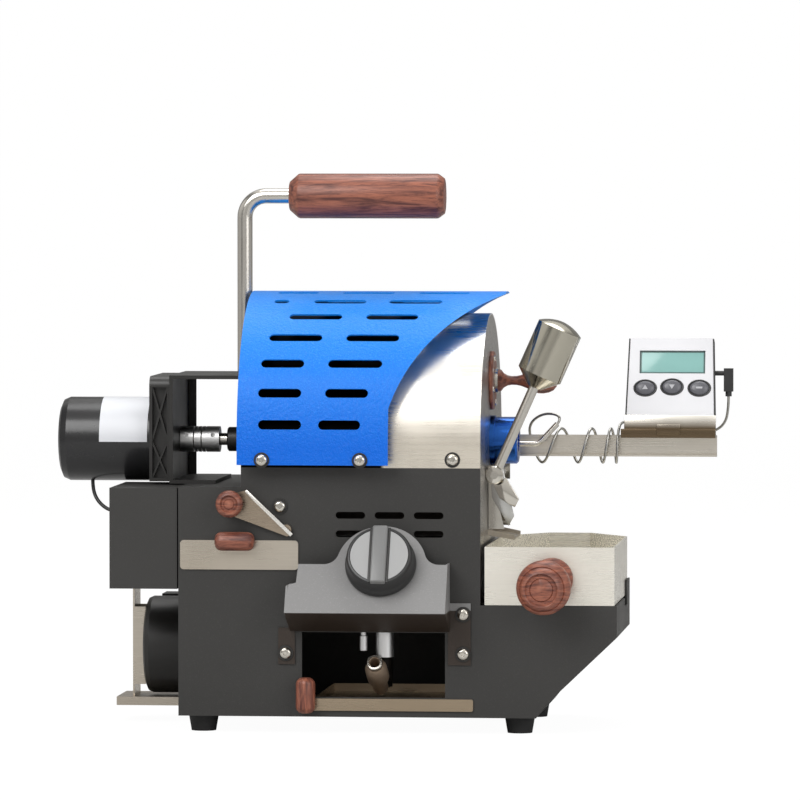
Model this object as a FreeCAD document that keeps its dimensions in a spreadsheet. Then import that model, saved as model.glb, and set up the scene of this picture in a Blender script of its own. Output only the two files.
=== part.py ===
"""Home coffee bean roaster: a gas fired drum roaster with a tray for cooling the beans, in millimetres.

X runs to the right as seen from the front, Y away from the viewer and Z up from the table. The pieces are
laid out from the body's front left corner, and each finished piece is then moved so that the origin is
under the middle of the whole roaster.
"""

import FreeCAD, Part
import math
import os

Vector = FreeCAD.Vector
Rotation = FreeCAD.Rotation
Placement = FreeCAD.Placement

DOC = FreeCAD.newDocument("coffee_roaster")

# Driving dimensions, in millimetres and degrees
SIZES = {
    # body
    "body_width": 245.0,
    "body_depth": 208.0,
    "body_top": 214.8,
    "low_top": 198.7,
    "low_width": 51.0,
    "floor_gap": 13.5,
    "sheet": 1.5,
    "seat_gap": 0.3,
    # housing for the cooling tray
    "wing_right": 355.2,
    "wing_top": 104.4,
    "wing_straight_bottom": 78.9,
    "wing_slope_x": 300.6,
    "wing_slope_z": 26.9,
    "wing_foot_x": 290.0,
    "wing_depth": 160.0,
    "wing_back_x": 321.0,
    # drum and its housing
    "axis_height": 233.0,
    "end_plate": 3.0,
    "drum_radius": 79.0,
    "drum_wall": 1.2,
    "drum_length": 168.0,
    "drum_end_gap": 9.0,
    "vane_height": 12.0,
    "vane_wall": 1.5,
    "spider_wall": 3.0,
    "spoke_width": 12.0,
    "shaft_radius": 5.0,
    "shaft_gap": 0.05,
    # heat shield
    "shield_gap": 18.0,
    "shield_wall": 1.5,
    "shield_bottom": 217.5,
    "shield_left": 49.7,
    "shield_right": 258.3,
    "shield_front_right": 172.0,
    "slot_width": 7.6,
    "slot_pitch": 12.3,
    "slot_first": 8.0,
    "spacer_radius": 5.0,
    "shield_screw_z": 221.5,
    "shield_screw_left": 70.0,
    "shield_screw_right": 149.3,
    "screw_radius": 2.4,
    "screw_head": 4.9,
    "screw_head_height": 2.8,
    "washer_radius": 6.3,
    "casing_screw_right": 222.5,
    "casing_screw_left": 82.8,
    "casing_screw_z": 183.4,
    "washer_wall": 1.0,
    # feet
    "foot_radius": 12.3,
    "foot_tip_radius": 10.0,
    "foot_inset_x": 17.7,
    "foot_right_x": 275.2,
    "foot_inset_y": 25.0,
    # carry handle
    "handle_x": 42.1,
    "handle_rod_radius": 6.2,
    "handle_height": 432.8,
    "handle_bend": 17.5,
    "grip_start": 79.3,
    "grip_end": 207.0,
    "grip_radius": 18.4,
    "grip_chamfer_left": 7.5,
    "grip_chamfer_right": 5.0,
    # motor
    "motor_left": -109.1,
    "motor_radius": 34.4,
    "motor_length": 78.0,
    "motor_edge": 7.0,
    "gear_case_length": 17.0,
    "gear_case_half": 47.0,
    "gear_case_top": 286.0,
    "gear_case_corner": 8.0,
    "bracket_x": -14.0,
    "bracket_wall": 3.0,
    "bracket_top": 287.0,
    "bracket_front": 52.0,
    "bracket_back": 158.0,
    "bracket_flange": 9.0,
    "motor_shaft_radius": 4.0,
    "coupling_start": -10.5,
    "coupling_length": 32.0,
    "coupling_radius": 10.6,
    "coupling_slit": 1.0,
    "rear_hub_radius": 10.0,
    "rear_hub_start": 28.0,
    "front_hub_radius": 19.2,
    "front_hub_end": 267.6,
    "front_hub_flange": 20.4,
    "front_hub_flange_wall": 4.0,
    # bean port and sampler
    "port_z": 282.0,
    "port_radius": 24.0,
    "port_wall": 3.0,
    "sampler_radius": 10.5,
    "sampler_wall": 1.2,
    "sampler_reach": 58.0,
    "sampler_knob_end": 306.0,
    "sampler_knob_radius": 10.6,
    "sampler_waist": 3.7,
    # discharge door
    "hinge_x": 252.0,
    "hinge_z": 207.0,
    "hinge_barrel": 4.2,
    "hinge_pin": 2.5,
    "door_front": 72.0,
    "door_back": 132.0,
    "door_bottom": 162.0,
    "door_wall": 2.0,
    "door_rim": 13.0,
    "mouth_bottom": 167.0,
    "mouth_top": 198.0,
    "mouth_margin": 5.0,
    "lug_wall": 4.0,
    "lever_y": 58.0,
    "lever_lean": 24.0,
    "lever_radius": 4.0,
    "weight_start": 78.0,
    "weight_radius": 18.6,
    "weight_cone": 11.0,
    "weight_body": 41.0,
    "weight_dome": 6.0,
    "chute_reach": 22.0,
    "chute_cheek": 5.0,
    # cooling tray
    "tray_left": 248.5,
    "tray_right": 353.2,
    "tray_top": 151.6,
    "tray_wall": 1.2,
    "tray_side": 158.0,
    "tray_back": 206.0,
    "tray_back_left": 285.0,
    "tray_back_right": 320.0,
    "tray_hole": 1.6,
    "tray_hole_pitch": 9.0,
    "tray_knob_x": 303.0,
    "tray_knob_z": 126.2,
    "tray_knob_radius": 22.0,
    "tray_knob_depth": 44.0,
    # electrics box
    "box_left": -56.3,
    "box_right": -1.2,
    "box_depth": 100.0,
    "box_bottom": 116.0,
    "box_top": 197.6,
    "switch_z": 177.0,
    "inlet_z": 157.0,
    # blower
    "blower_y": 128.0,
    "blower_z": 62.0,
    "blower_radius": 40.0,
    "blower_left": -41.5,
    "blower_wall": 2.0,
    "impeller_radius": 33.0,
    "spindle_radius": 4.0,
    "blower_plate_x": -52.0,
    # chaff drawer
    "drawer_left": 1.7,
    "drawer_right": 97.7,
    "drawer_bottom": 132.2,
    "drawer_top": 155.9,
    "drawer_depth": 150.0,
    "drawer_wall": 1.0,
    "drawer_corner": 3.0,
    "drawer_pull_x": 47.0,
    "drawer_pull_half": 16.0,
    "drawer_pull_radius": 7.6,
    # drip tray
    "drip_left": 103.7,
    "drip_right": 239.3,
    "drip_bottom": 18.6,
    "drip_top": 28.4,
    "drip_depth": 170.0,
    "drip_pull_x": 98.0,
    "drip_pull_half": 14.5,
    "drip_pull_radius": 7.8,
    # damper
    "damper_x": 88.5,
    "damper_z": 165.0,
    "damper_knob_x": 42.4,
    "damper_knob_z": 186.0,
    "damper_knob_radius": 10.6,
    "damper_plate": 1.5,
    "damper_spindle": 4.0,
    "damper_stand_off": 3.0,
    # gas control
    "panel_left": 91.0,
    "panel_right": 220.4,
    "panel_proud": 44.0,
    "panel_bottom": 100.5,
    "panel_return": 82.5,
    "panel_straight": 44.5,
    "panel_lean": 32.0,
    "panel_bump": 36.5,
    "panel_fillet": 12.0,
    "panel_screw_low": 65.0,
    "panel_screw_high": 97.0,
    "knob_x": 166.9,
    "knob_slope": 43.0,
    "knob_radius": 28.6,
    "knob_face_radius": 25.4,
    "knob_depth": 20.0,
    "knob_grip_width": 13.0,
    "valve_radius": 11.0,
    "valve_length": 36.0,
    "stem_radius": 3.0,
    "riser_radius": 7.2,
    "riser_bottom": 61.3,
    "riser_top": 118.0,
    "riser_y": 15.0,
    "bay_left": 100.6,
    "bay_right": 216.6,
    "bay_bottom": 29.5,
    "bay_top": 82.0,
    "inlet_x": 159.0,
    "inlet_mouth_y": 4.0,
    "inlet_mouth_z": 57.5,
    "inlet_tilt": 25.0,
    "inlet_radius": 6.2,
    "inlet_bore": 4.1,
    "inlet_length": 58.0,
    "burner_z": 112.0,
    "burner_radius": 12.0,
    "burner_pipe": 4.0,
    # thermometer
    "arm_y": 144.0,
    "arm_top": 236.0,
    "arm_bottom": 218.5,
    "arm_wall": 1.5,
    "arm_lip": 6.0,
    "arm_end": 428.0,
    "shelf_start": 350.0,
    "shelf_lip": 5.5,
    "meter_left": 353.2,
    "meter_width": 74.0,
    "meter_height": 78.0,
    "meter_taper": 2.4,
    "meter_depth": 17.0,
    "meter_lean": 17.0,
    "bezel_wall": 4.0,
    "button_travel": 1.2,
    "cable_radius": 1.1,
    "probe_radius": 2.2,
    "probe_y": 128.0,
    "probe_z": 229.0,
}


class Dim:
    """A length that carries both its value and the spreadsheet formula that gives it."""

    def __init__(self, value, formula=None):
        self.value = float(value)
        self.formula = formula or f"{float(value):.6f}"

    def join(self, other, sign, value):
        return Dim(value, f"({self.formula} {sign} {dim(other).formula})")

    def __add__(self, other):
        return self.join(other, "+", self.value + dim(other).value)

    def __sub__(self, other):
        return self.join(other, "-", self.value - dim(other).value)

    def __mul__(self, other):
        return self.join(other, "*", self.value * dim(other).value)

    def __truediv__(self, other):
        return self.join(other, "/", self.value / dim(other).value)

    def __radd__(self, other):
        return dim(other) + self

    def __rsub__(self, other):
        return dim(other) - self

    def __rmul__(self, other):
        return dim(other) * self

    def __neg__(self):
        return dim(0) - self

    def __float__(self):
        return self.value


def dim(number):
    return number if isinstance(number, Dim) else Dim(number)


def write_sheet():
    """Put each driving dimension in its own named cell, and return it as a Dim."""
    sheet = DOC.addObject("Spreadsheet::Sheet", "Sizes")
    named = {}
    for row, (name, value) in enumerate(SIZES.items(), start=1):
        sheet.set(f"A{row}", name)
        sheet.set(f"B{row}", str(value))
        sheet.setAlias(f"B{row}", name)
        named[name] = Dim(value, f"Sizes.{name}")
    DOC.recompute()
    return named


class Named:
    """The driving dimensions as attributes."""

    def __init__(self, named):
        self.__dict__.update(named)


S = Named(write_sheet())
PIECES = {}

# Places that several pieces share
AXIS_Y = S.body_depth / 2
HOUSING_RADIUS = S.body_depth / 2
INNER_RADIUS = HOUSING_RADIUS - S.sheet
SHIELD_RADIUS = HOUSING_RADIUS + S.shield_gap
LEFT_PLATE_END = S.low_width + S.end_plate
RIGHT_PLATE_START = S.body_width - S.end_plate
SHIFT_X = 159.45
SHIFT_Y = 88.3


def bind(piece, **formulas):
    """Bind properties of a piece to spreadsheet formulas; a double underscore stands for a dot."""
    for name, size in formulas.items():
        piece.setExpression(name.replace("__", "."), dim(size).formula)
    return piece


def at(piece, x, y, z, rotation=None):
    """Place a piece at a bound position."""
    if rotation is not None:
        piece.Placement = Placement(Vector(0, 0, 0), rotation)
    return bind(piece, Placement__Base__x=x, Placement__Base__y=y, Placement__Base__z=z)


def box(x0, x1, y0, y1, z0, z1):
    piece = DOC.addObject("Part::Box", "block")
    bind(piece, Length=dim(x1) - x0, Width=dim(y1) - y0, Height=dim(z1) - z0)
    return at(piece, x0, y0, z0)


TURN = {
    "X": Rotation(Vector(0, 1, 0), 90),
    "Y": Rotation(Vector(1, 0, 0), -90),
    "Z": Rotation(),
}


def rod(axis, radius, start, end, first, second):
    """A round bar along an axis; first and second are its place on the other two axes, in order."""
    piece = DOC.addObject("Part::Cylinder", "round")
    bind(piece, Radius=radius, Height=dim(end) - start)
    place = {"X": (start, first, second), "Y": (first, start, second), "Z": (first, second, start)}
    return at(piece, *place[axis], TURN[axis])


def fuse(*pieces):
    joined = DOC.addObject("Part::MultiFuse", "joined")
    joined.Shapes = list(pieces)
    return joined


def group(*pieces):
    together = DOC.addObject("Part::Compound", "together")
    together.Links = list(pieces)
    return together


def cut(base, *tools):
    trimmed = DOC.addObject("Part::Cut", "trimmed")
    trimmed.Base = base
    trimmed.Tool = tools[0] if len(tools) == 1 else fuse(*tools)
    return trimmed


def plane_of(body, role):
    return next(item for item in body.Origin.OriginFeatures if item.Role == role)


def sketch_in(body, role, loops, offset=0):
    """Draw closed loops on one of the body's own planes, moved along the plane's normal by the offset."""
    sketch = body.newObject("Sketcher::SketchObject", "outline")
    sketch.AttachmentSupport = (plane_of(body, role), [""])
    sketch.MapMode = "FlatFace"
    sketch.setExpression("AttachmentOffset.Base.z", dim(offset).formula)
    for loop in loops:
        for edge in loop:
            sketch.addGeometry(edge, False)
    return sketch


def point(pair):
    return Vector(float(pair[0]), float(pair[1]), 0)


def polygon(*corners):
    """Straight edges through the corners and back to the first."""
    points = [point(corner) for corner in corners]
    return [Part.LineSegment(a, b) for a, b in zip(points, points[1:] + points[:1])]


def outline(*steps):
    """A closed loop: each step is a corner, or three numbers pairs (arc, through, to)."""
    edges = []
    here = point(steps[0])
    for step in list(steps[1:]) + [steps[0]]:
        if step[0] == "arc":
            middle, end = point(step[1]), point(step[2])
            edges.append(Part.Arc(here, middle, end))
        else:
            end = point(step)
            if end.distanceToPoint(here) < 1e-6:
                continue
            edges.append(Part.LineSegment(here, end))
        here = end
    return edges


def ring(x, y, radius):
    return [Part.Circle(point((x, y)), Vector(0, 0, 1), float(radius))]


def slot(x0, x1, y, width):
    """A level slot with round ends, from x0 to x1."""
    half = float(width) / 2
    left, right, y = float(x0) + half, float(x1) - half, float(y)
    return [
        Part.LineSegment(Vector(left, y - half, 0), Vector(right, y - half, 0)),
        Part.Arc(Vector(right, y - half, 0), Vector(right + half, y, 0), Vector(right, y + half, 0)),
        Part.LineSegment(Vector(right, y + half, 0), Vector(left, y + half, 0)),
        Part.Arc(Vector(left, y + half, 0), Vector(left - half, y, 0), Vector(left, y - half, 0)),
    ]


def plate(role, start, end, *loops):
    """A pad of the outer loop with the others as holes, between two places along the plane's normal."""
    body = DOC.addObject("PartDesign::Body", "plate")
    offset = -dim(end) if role == "XZ_Plane" else start
    pad = body.newObject("PartDesign::Pad", "pad")
    pad.Profile = sketch_in(body, role, loops, offset)
    bind(pad, Length=dim(end) - start)
    return body


def turned(*loop):
    """A piece turned about its own Z axis, from an outline of (radius, height) steps."""
    body = DOC.addObject("PartDesign::Body", "turned")
    sketch = sketch_in(body, "XZ_Plane", [outline(*loop)])
    turn = body.newObject("PartDesign::Revolution", "turn")
    turn.Profile = sketch
    turn.ReferenceAxis = (sketch, ["V_Axis"])
    turn.Angle = 360
    return body


def keep(name, piece):
    """Name a finished sub-part and move it from the body's corner to the roaster's own origin."""
    if piece.TypeId not in ("Part::Feature", "Part::Cut", "Part::MultiFuse", "Part::Compound"):
        piece = group(piece)
    piece.Placement = Placement(Vector(-SHIFT_X, -SHIFT_Y, 0), Rotation())
    piece.Label = name
    PIECES[name] = piece
    return piece


# Body
def wing_outline():
    """Front view of the whole casing: the body, and the housing of the cooling tray at its lower right."""
    return [
        (0, S.floor_gap),
        (S.wing_foot_x, S.floor_gap),
        (S.wing_slope_x, S.wing_slope_z),
        (S.wing_right, S.wing_straight_bottom),
        (S.wing_right, S.wing_top),
        (S.body_width, S.wing_top),
        (S.body_width, S.body_top),
        (S.low_width, S.body_top),
        (S.low_width, S.low_top),
        (0, S.low_top),
    ]


def base_casing():
    vents = []
    vent_pitch = 31.7
    for row_z in (176.5, 161.5):
        for column in range(3):
            left = 127.9 + column * vent_pitch
            vents.append(slot(left, left + 24.0, row_z, 5.5))
    windows = [
        polygon(*rectangle(S.drawer_left + 4, S.drawer_right - 4, S.drawer_bottom + 3, S.drawer_top - 2)),
        polygon(*rectangle(S.bay_left, S.bay_right, S.bay_bottom, S.bay_top)),
        polygon(*rectangle(S.drip_left + 3, S.drip_right - 3, S.drip_bottom + 0.2, S.drip_top - 0.4)),
        ring(S.damper_x, S.damper_z, S.damper_spindle + S.shaft_gap),
        ring(S.knob_x, valve_hole_z(), S.valve_radius + 4),
    ]
    front = plate("XZ_Plane", 0, S.sheet, polygon(*wing_outline()), *vents, *windows)
    inner = S.sheet
    left_wall = plate(
        "XZ_Plane", 0, S.body_depth - S.sheet,
        polygon(
            (0, S.floor_gap), (inner, S.floor_gap), (inner, S.low_top - inner),
            (S.low_width, S.low_top - inner), (S.low_width, S.low_top), (0, S.low_top),
        ),
    )
    wing = plate(
        "XZ_Plane", 0, S.wing_depth,
        polygon(
            (S.wing_foot_x - 2, S.floor_gap), (S.wing_foot_x, S.floor_gap),
            (S.wing_slope_x, S.wing_slope_z), (S.wing_right, S.wing_straight_bottom),
            (S.wing_right, S.wing_top), (S.wing_right - inner, S.wing_top),
            (S.wing_right - inner, S.wing_straight_bottom + 0.6), (S.wing_slope_x - 1, S.wing_slope_z + 1.1),
        ),
    )
    lug_width, lug_height = 32, 13
    lug = box(S.wing_right - inner, S.wing_right, S.wing_depth - lug_width, S.wing_depth,
              S.wing_top, S.wing_top + lug_height)
    notch = box(S.wing_right - 2 * inner, S.wing_right + inner, S.wing_depth - 62, S.wing_depth - 32,
                S.wing_top - 7, S.wing_top + inner)
    shaft_hole = rod("X", S.spindle_radius + S.shaft_gap, -inner, 2 * inner, S.blower_y, S.blower_z)
    floor = box(0, S.wing_foot_x - 2, 0, S.body_depth - S.sheet, S.floor_gap, S.floor_gap + inner)
    whole = fuse(front, left_wall, wing, lug, floor, *wing_back())
    keep("base_casing", cut(whole, notch, shaft_hole))


def valve_hole_z():
    """Where the leaning gas valve passes the front of the body."""
    lean = math.radians(float(S.panel_lean))
    base = on_panel(S.knob_x, S.knob_slope, 0)
    return base.z + base.y * math.tan(lean)


def rectangle(x0, x1, z0, z1):
    return [(x0, z0), (x1, z0), (x1, z1), (x0, z1)]


def wing_back():
    """The slanted and rear faces that close the tray housing behind its side wall."""
    high = S.wing_top
    points = [
        (S.wing_right, S.wing_depth), (S.wing_back_x, S.body_depth), (S.body_width, S.body_depth),
        (S.body_width, S.body_depth - S.sheet), (S.wing_back_x - 0.6, S.body_depth - S.sheet),
        (S.wing_right - S.sheet, S.wing_depth),
    ]
    block = plate("XY_Plane", S.floor_gap, high, polygon(*points))
    below = plate(
        "XZ_Plane", S.wing_depth - 5, S.body_depth + 5,
        polygon(
            (S.wing_foot_x - 2, S.floor_gap - 5), (S.wing_foot_x, S.floor_gap),
            (S.wing_slope_x, S.wing_slope_z), (S.wing_right, S.wing_straight_bottom),
            (S.wing_right + 5, S.wing_straight_bottom), (S.wing_right + 5, S.floor_gap - 5),
        ),
    )
    slope = plate(
        "XZ_Plane", S.wing_depth, S.body_depth,
        polygon(
            (S.wing_foot_x - 2, S.floor_gap), (S.wing_foot_x, S.floor_gap),
            (S.wing_slope_x, S.wing_slope_z), (S.wing_right, S.wing_straight_bottom),
            (S.wing_right - S.sheet, S.wing_straight_bottom + 0.6),
            (S.wing_slope_x - 1, S.wing_slope_z + 1.1),
        ),
    )
    corner = plate(
        "XY_Plane", 0, high + 5,
        polygon(
            (S.wing_right, S.wing_depth), (S.wing_back_x, S.body_depth),
            (S.wing_back_x, S.body_depth + 5), (S.wing_right + 5, S.body_depth + 5),
            (S.wing_right + 5, S.wing_depth),
        ),
    )
    return cut(block, below), cut(slope, corner)


def rear_cover():
    vent_left, vent_length, vent_pitch = 70.0, 30.0, 40.0
    vent_bottom, row_pitch, vent_width = 104.0, 14.0, 5.5
    vents = []
    for column in range(4):
        left = vent_left + column * vent_pitch
        for row in range(3):
            vents.append(slot(left, left + vent_length, vent_bottom + row * row_pitch, vent_width))
    shape = [
        (0, S.floor_gap), (S.body_width, S.floor_gap), (S.body_width, S.body_top),
        (S.low_width, S.body_top), (S.low_width, S.low_top), (0, S.low_top),
    ]
    keep("rear_cover", plate("XZ_Plane", S.body_depth - S.sheet, S.body_depth, polygon(*shape), *vents))


def arch(bottom, radius):
    """End view of the drum housing: upright sides with a half round top, in Y and Z."""
    left, right = AXIS_Y - radius, AXIS_Y + radius
    return [
        (left, bottom), (right, bottom), (right, S.axis_height),
        ("arc", (AXIS_Y, S.axis_height + radius), (left, S.axis_height)),
    ]


def end_plates():
    door_middle = (S.door_front + S.door_back) / 2
    mouth_half = (S.door_back - S.door_front) / 2 - S.mouth_margin
    mouth = polygon(*rectangle(door_middle - mouth_half, door_middle + mouth_half,
                               S.mouth_bottom, S.mouth_top))
    right = plate(
        "YZ_Plane", RIGHT_PLATE_START, S.body_width,
        outline(*arch(S.floor_gap + S.sheet, INNER_RADIUS)), mouth,
        ring(AXIS_Y, S.axis_height, S.front_hub_radius - 6),
        ring(AXIS_Y, S.port_z, S.sampler_radius + 2),
        ring(S.probe_y, S.probe_z, S.probe_radius + 0.02),
        ring(158, 60, 22),
    )
    keep("right_end_plate", right)
    left = plate(
        "YZ_Plane", S.low_width, LEFT_PLATE_END,
        outline(*arch(S.drawer_top + 6, INNER_RADIUS)),
        ring(AXIS_Y, S.axis_height, S.shaft_radius + S.shaft_gap),
    )
    keep("left_end_plate", left)


def housing_shell():
    outer = plate("YZ_Plane", S.low_width, S.body_width, outline(*arch(S.body_top, HOUSING_RADIUS)))
    inner = plate("YZ_Plane", S.low_width - 5, S.body_width + 5, outline(*arch(S.body_top - 5, INNER_RADIUS)))
    keep("housing_shell", cut(outer, inner))


def housing_rails():
    """Two strips inside the joint of the body and the drum housing, which the screws pull together."""
    low, high = S.body_top - 13, S.body_top + 11
    front = box(LEFT_PLATE_END, RIGHT_PLATE_START, S.sheet, 2 * S.sheet, low, high)
    back = box(LEFT_PLATE_END, RIGHT_PLATE_START, S.body_depth - 2 * S.sheet, S.body_depth - S.sheet,
               low, high)
    keep("housing_rails", group(front, back))


def rubber_feet():
    feet = []
    for x in (S.foot_inset_x, S.foot_right_x):
        for y in (S.foot_inset_y, S.body_depth - S.foot_inset_y):
            foot = turned((0, 0), (S.foot_tip_radius, 0), (S.foot_radius, S.floor_gap), (0, S.floor_gap))
            feet.append(at(foot, x, y, 0))
    keep("rubber_feet", group(*feet))


# Heat shield
def heat_shield():
    outer = SHIELD_RADIUS
    inner = SHIELD_RADIUS - S.shield_wall
    solid = plate("YZ_Plane", S.shield_left, S.shield_right, outline(*arch(S.shield_bottom, outer)))
    hollow = plate("YZ_Plane", S.shield_left - 5, S.shield_right + 5,
                   outline(*arch(S.shield_bottom - 5, inner)))
    crown = S.axis_height + outer
    far = S.shield_right + 10
    sweep = plate(
        "XZ_Plane", -40, S.body_depth + 40,
        outline(
            (S.shield_front_right, S.shield_bottom - 10), (far, S.shield_bottom - 10), (far, crown + 10),
            (S.shield_right + 4, crown + 10), (S.shield_right, crown - 2),
            ("arc", (S.shield_front_right + 25.5, S.axis_height + 77),
             (S.shield_front_right, S.axis_height + 30)),
        ),
    )
    slots = []
    rows = [
        ((67.0, 101.8), (115.6, 149.5)),
        ((66.3, 101.2), (120.6, 155.3)),
        ((67.5, 102.4), (121.8, 165.6)),
        ((72.2, 115.3), (134.8, 177.8)),
        ((86.3, 129.5), (149.0, 191.3)),
        ((71.3, 83.6), (104.1, 146.6), (165.4, 208.7)),
        ((71.5, 105.2), (124.9, 167.6), (187.2, 229.0)),
    ]
    for number, row in enumerate(rows):
        angle = float(S.slot_first) + number * float(S.slot_pitch)
        for turn in (angle, 180 - angle):
            for x0, x1 in row:
                slots.append(radial_slot(x0, x1, turn))
    holes = [rod("Y", S.screw_radius + 0.2, -30, S.body_depth + 30, x, S.shield_screw_z)
             for x in (S.shield_screw_left, S.shield_screw_right)]
    keep("heat_shield", cut(solid, hollow, sweep, *slots, *holes))


def radial_slot(x0, x1, angle):
    """A cutter for a slot with round ends through the shield, at an angle up from the front."""
    reach = SHIELD_RADIUS + 6
    depth = 14
    body = DOC.addObject("PartDesign::Body", "slot_cutter")
    pad = body.newObject("PartDesign::Pad", "pad")
    pad.Profile = sketch_in(body, "XY_Plane", [slot(x0, x1, 0, S.slot_width)])
    bind(pad, Length=depth)
    turn = Rotation(Vector(1, 0, 0), 90 - angle)
    radians = math.radians(angle)
    start = float(reach) - depth
    y = float(AXIS_Y) - start * math.cos(radians)
    z = float(S.axis_height) + start * math.sin(radians)
    body.Placement = Placement(Vector(0, y, z), turn)
    return body


def shield_spacers():
    pieces = []
    for x in (S.shield_screw_left, S.shield_screw_right):
        for start, end in (
            (-S.shield_gap + S.shield_wall, 0),
            (S.body_depth, S.body_depth + S.shield_gap - S.shield_wall),
        ):
            outer = rod("Y", S.spacer_radius, start, end, x, S.shield_screw_z)
            inner = rod("Y", S.screw_radius + 0.1, dim(start) - 1, dim(end) + 1, x, S.shield_screw_z)
            pieces.append(cut(outer, inner))
    keep("shield_spacers", group(*pieces))


def button_screw(x, z, face, length, back=False):
    """A button head screw with its washer, standing on a front face, or on a back one."""
    sign = 1 if back else -1
    head_start = dim(face) + sign * S.washer_wall
    ends = sorted((float(head_start), float(head_start + sign * S.screw_head_height)))
    washer_ends = sorted((float(face), float(head_start)))
    shank_ends = sorted((float(face), float(dim(face) - sign * length)))
    head = rod("Y", S.screw_head, ends[0], ends[1], x, z)
    washer = rod("Y", S.washer_radius, washer_ends[0], washer_ends[1], x, z)
    solids = [head, washer]
    if length:
        solids.append(rod("Y", S.screw_radius, shank_ends[0], shank_ends[1], x, z))
    socket_depth = 1.6
    socket_start = float(head_start + sign * (S.screw_head_height - socket_depth))
    socket_ends = sorted((socket_start, float(head_start + sign * (S.screw_head_height + 1))))
    socket = rod("Y", 1.5, socket_ends[0], socket_ends[1], x, z)
    return cut(fuse(*solids), socket)


def casing_screws():
    screws = []
    for x in (S.shield_screw_left, S.shield_screw_right):
        screws.append(button_screw(x, S.shield_screw_z, -S.shield_gap, S.shield_gap))
        screws.append(button_screw(x, S.shield_screw_z, S.body_depth + S.shield_gap, S.shield_gap, back=True))
    screws.append(button_screw(S.casing_screw_right, S.shield_screw_z, 0, 0))
    screws.append(button_screw(S.casing_screw_left, S.casing_screw_z, 0, 0))
    for x, z in (
        (S.panel_left - 3.5, S.panel_screw_low), (S.panel_right + 11, S.panel_screw_low),
        (S.panel_right + 11, S.panel_screw_high),
    ):
        screws.append(button_screw(x, z, -S.sheet, 0))
    ring_radius = S.port_radius - 4.5
    for angle in (20, 110, 200, 290):
        y = AXIS_Y + ring_radius * math.cos(math.radians(angle))
        z = S.port_z + ring_radius * math.sin(math.radians(angle))
        start = S.body_width + S.port_wall
        screws.append(rod("X", 2.4, start, start + 1.6, y, z))
    keep("button_screws", group(*screws))


# Carry handle
def carry_handle():
    x = float(S.handle_x)
    y = float(AXIS_Y)
    bend = float(S.handle_bend)
    top = float(S.handle_height)
    start = float(S.bracket_top)
    end = float(S.grip_end) - 12
    corner = bend * (1 - math.sqrt(0.5))
    path = Part.Wire([
        Part.LineSegment(Vector(x, y, start), Vector(x, y, top - bend)).toShape(),
        Part.Arc(
            Vector(x, y, top - bend), Vector(x + corner, y, top - corner), Vector(x + bend, y, top)
        ).toShape(),
        Part.LineSegment(Vector(x + bend, y, top), Vector(end, y, top)).toShape(),
    ])
    circle = Part.Circle(Vector(x, y, start), Vector(0, 0, 1), float(S.handle_rod_radius))
    section = Part.Wire([circle.toShape()])
    piece = DOC.addObject("Part::Feature", "handle_rod")
    piece.Shape = path.makePipeShell([section], True, False)
    keep("handle_rod", piece)
    length = S.grip_end - S.grip_start
    radius = S.grip_radius
    bore = S.handle_rod_radius + 0.02
    neck = 11.5
    grip = turned(
        (bore, 0), (neck, 0), (radius, S.grip_chamfer_left), (radius, length - S.grip_chamfer_right),
        (radius - 4, length), (0, length), (0, length - 10), (bore, length - 10),
    )
    keep("handle_grip", at(grip, S.grip_start, AXIS_Y, S.handle_height, TURN["X"]))


# Motor and drive
def motor():
    edge = S.motor_edge
    can = turned(
        (0, 0), (S.motor_radius - edge, 0), (S.motor_radius - edge * 0.3, edge * 0.3), (S.motor_radius, edge),
        (S.motor_radius, S.motor_length), (0, S.motor_length),
    )
    keep("motor_can", at(can, S.motor_left, AXIS_Y, S.axis_height, TURN["X"]))
    start = S.motor_left + S.motor_length
    end = start + S.gear_case_length
    half = S.gear_case_half
    corner = float(S.gear_case_corner)
    left, right = float(AXIS_Y - half), float(AXIS_Y + half)
    low, high = float(S.low_top) + 1.5, float(S.gear_case_top)
    tuck = corner * (1 - math.sqrt(0.5))
    shape = outline(
        (left, low), (right, low), (right, high - corner),
        ("arc", (right - tuck, high - tuck), (right - corner, high)), (left + corner, high),
        ("arc", (left + tuck, high - tuck), (left, high - corner)),
    )
    case = plate("YZ_Plane", start, end, shape)
    recess_depth = 6
    wall = 2.5
    recess = box(start + wall, end - wall, left - 5, left + recess_depth, low + 3, high - corner - 1)
    ribs = []
    middle = float(S.axis_height)
    inner_left, inner_right = float(start) + wall - 0.5, float(end) - wall + 0.5
    for near, far in ((inner_left, inner_right), (inner_right, inner_left)):
        for tip in (high - corner, low + 2):
            ribs.append(rib(near, middle, far, tip, left + 1.0, recess_depth))
    keep("gear_case", fuse(cut(case, recess), *ribs))


def rib(x0, z0, x1, z1, y, depth):
    """A thin slanted rib in the recess of the gear case, between two points of the front view."""
    half = 0.8
    return plate("XZ_Plane", y, y + depth,
                 polygon((x0 - half, z0), (x0 + half, z0), (x1 + half, z1), (x1 - half, z1)))


def motor_bracket():
    x = S.bracket_x
    wall = S.bracket_wall
    web = box(x, x + wall, S.bracket_front, S.bracket_back, S.low_top + 0.3, S.bracket_top)
    top = box(x, S.low_width, S.bracket_front, S.bracket_back, S.bracket_top - wall, S.bracket_top)
    back = box(x, x + S.bracket_flange, S.bracket_back - 2, S.bracket_back, S.low_top + 0.3, S.bracket_top)
    foot = box(x, 24, S.bracket_front, S.bracket_back, S.low_top, S.low_top + wall)
    hole = rod("X", S.motor_shaft_radius + 2, x - 5, x + wall + 5, AXIS_Y, S.axis_height)
    keep("motor_bracket", cut(fuse(web, top, back, foot), hole))


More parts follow.
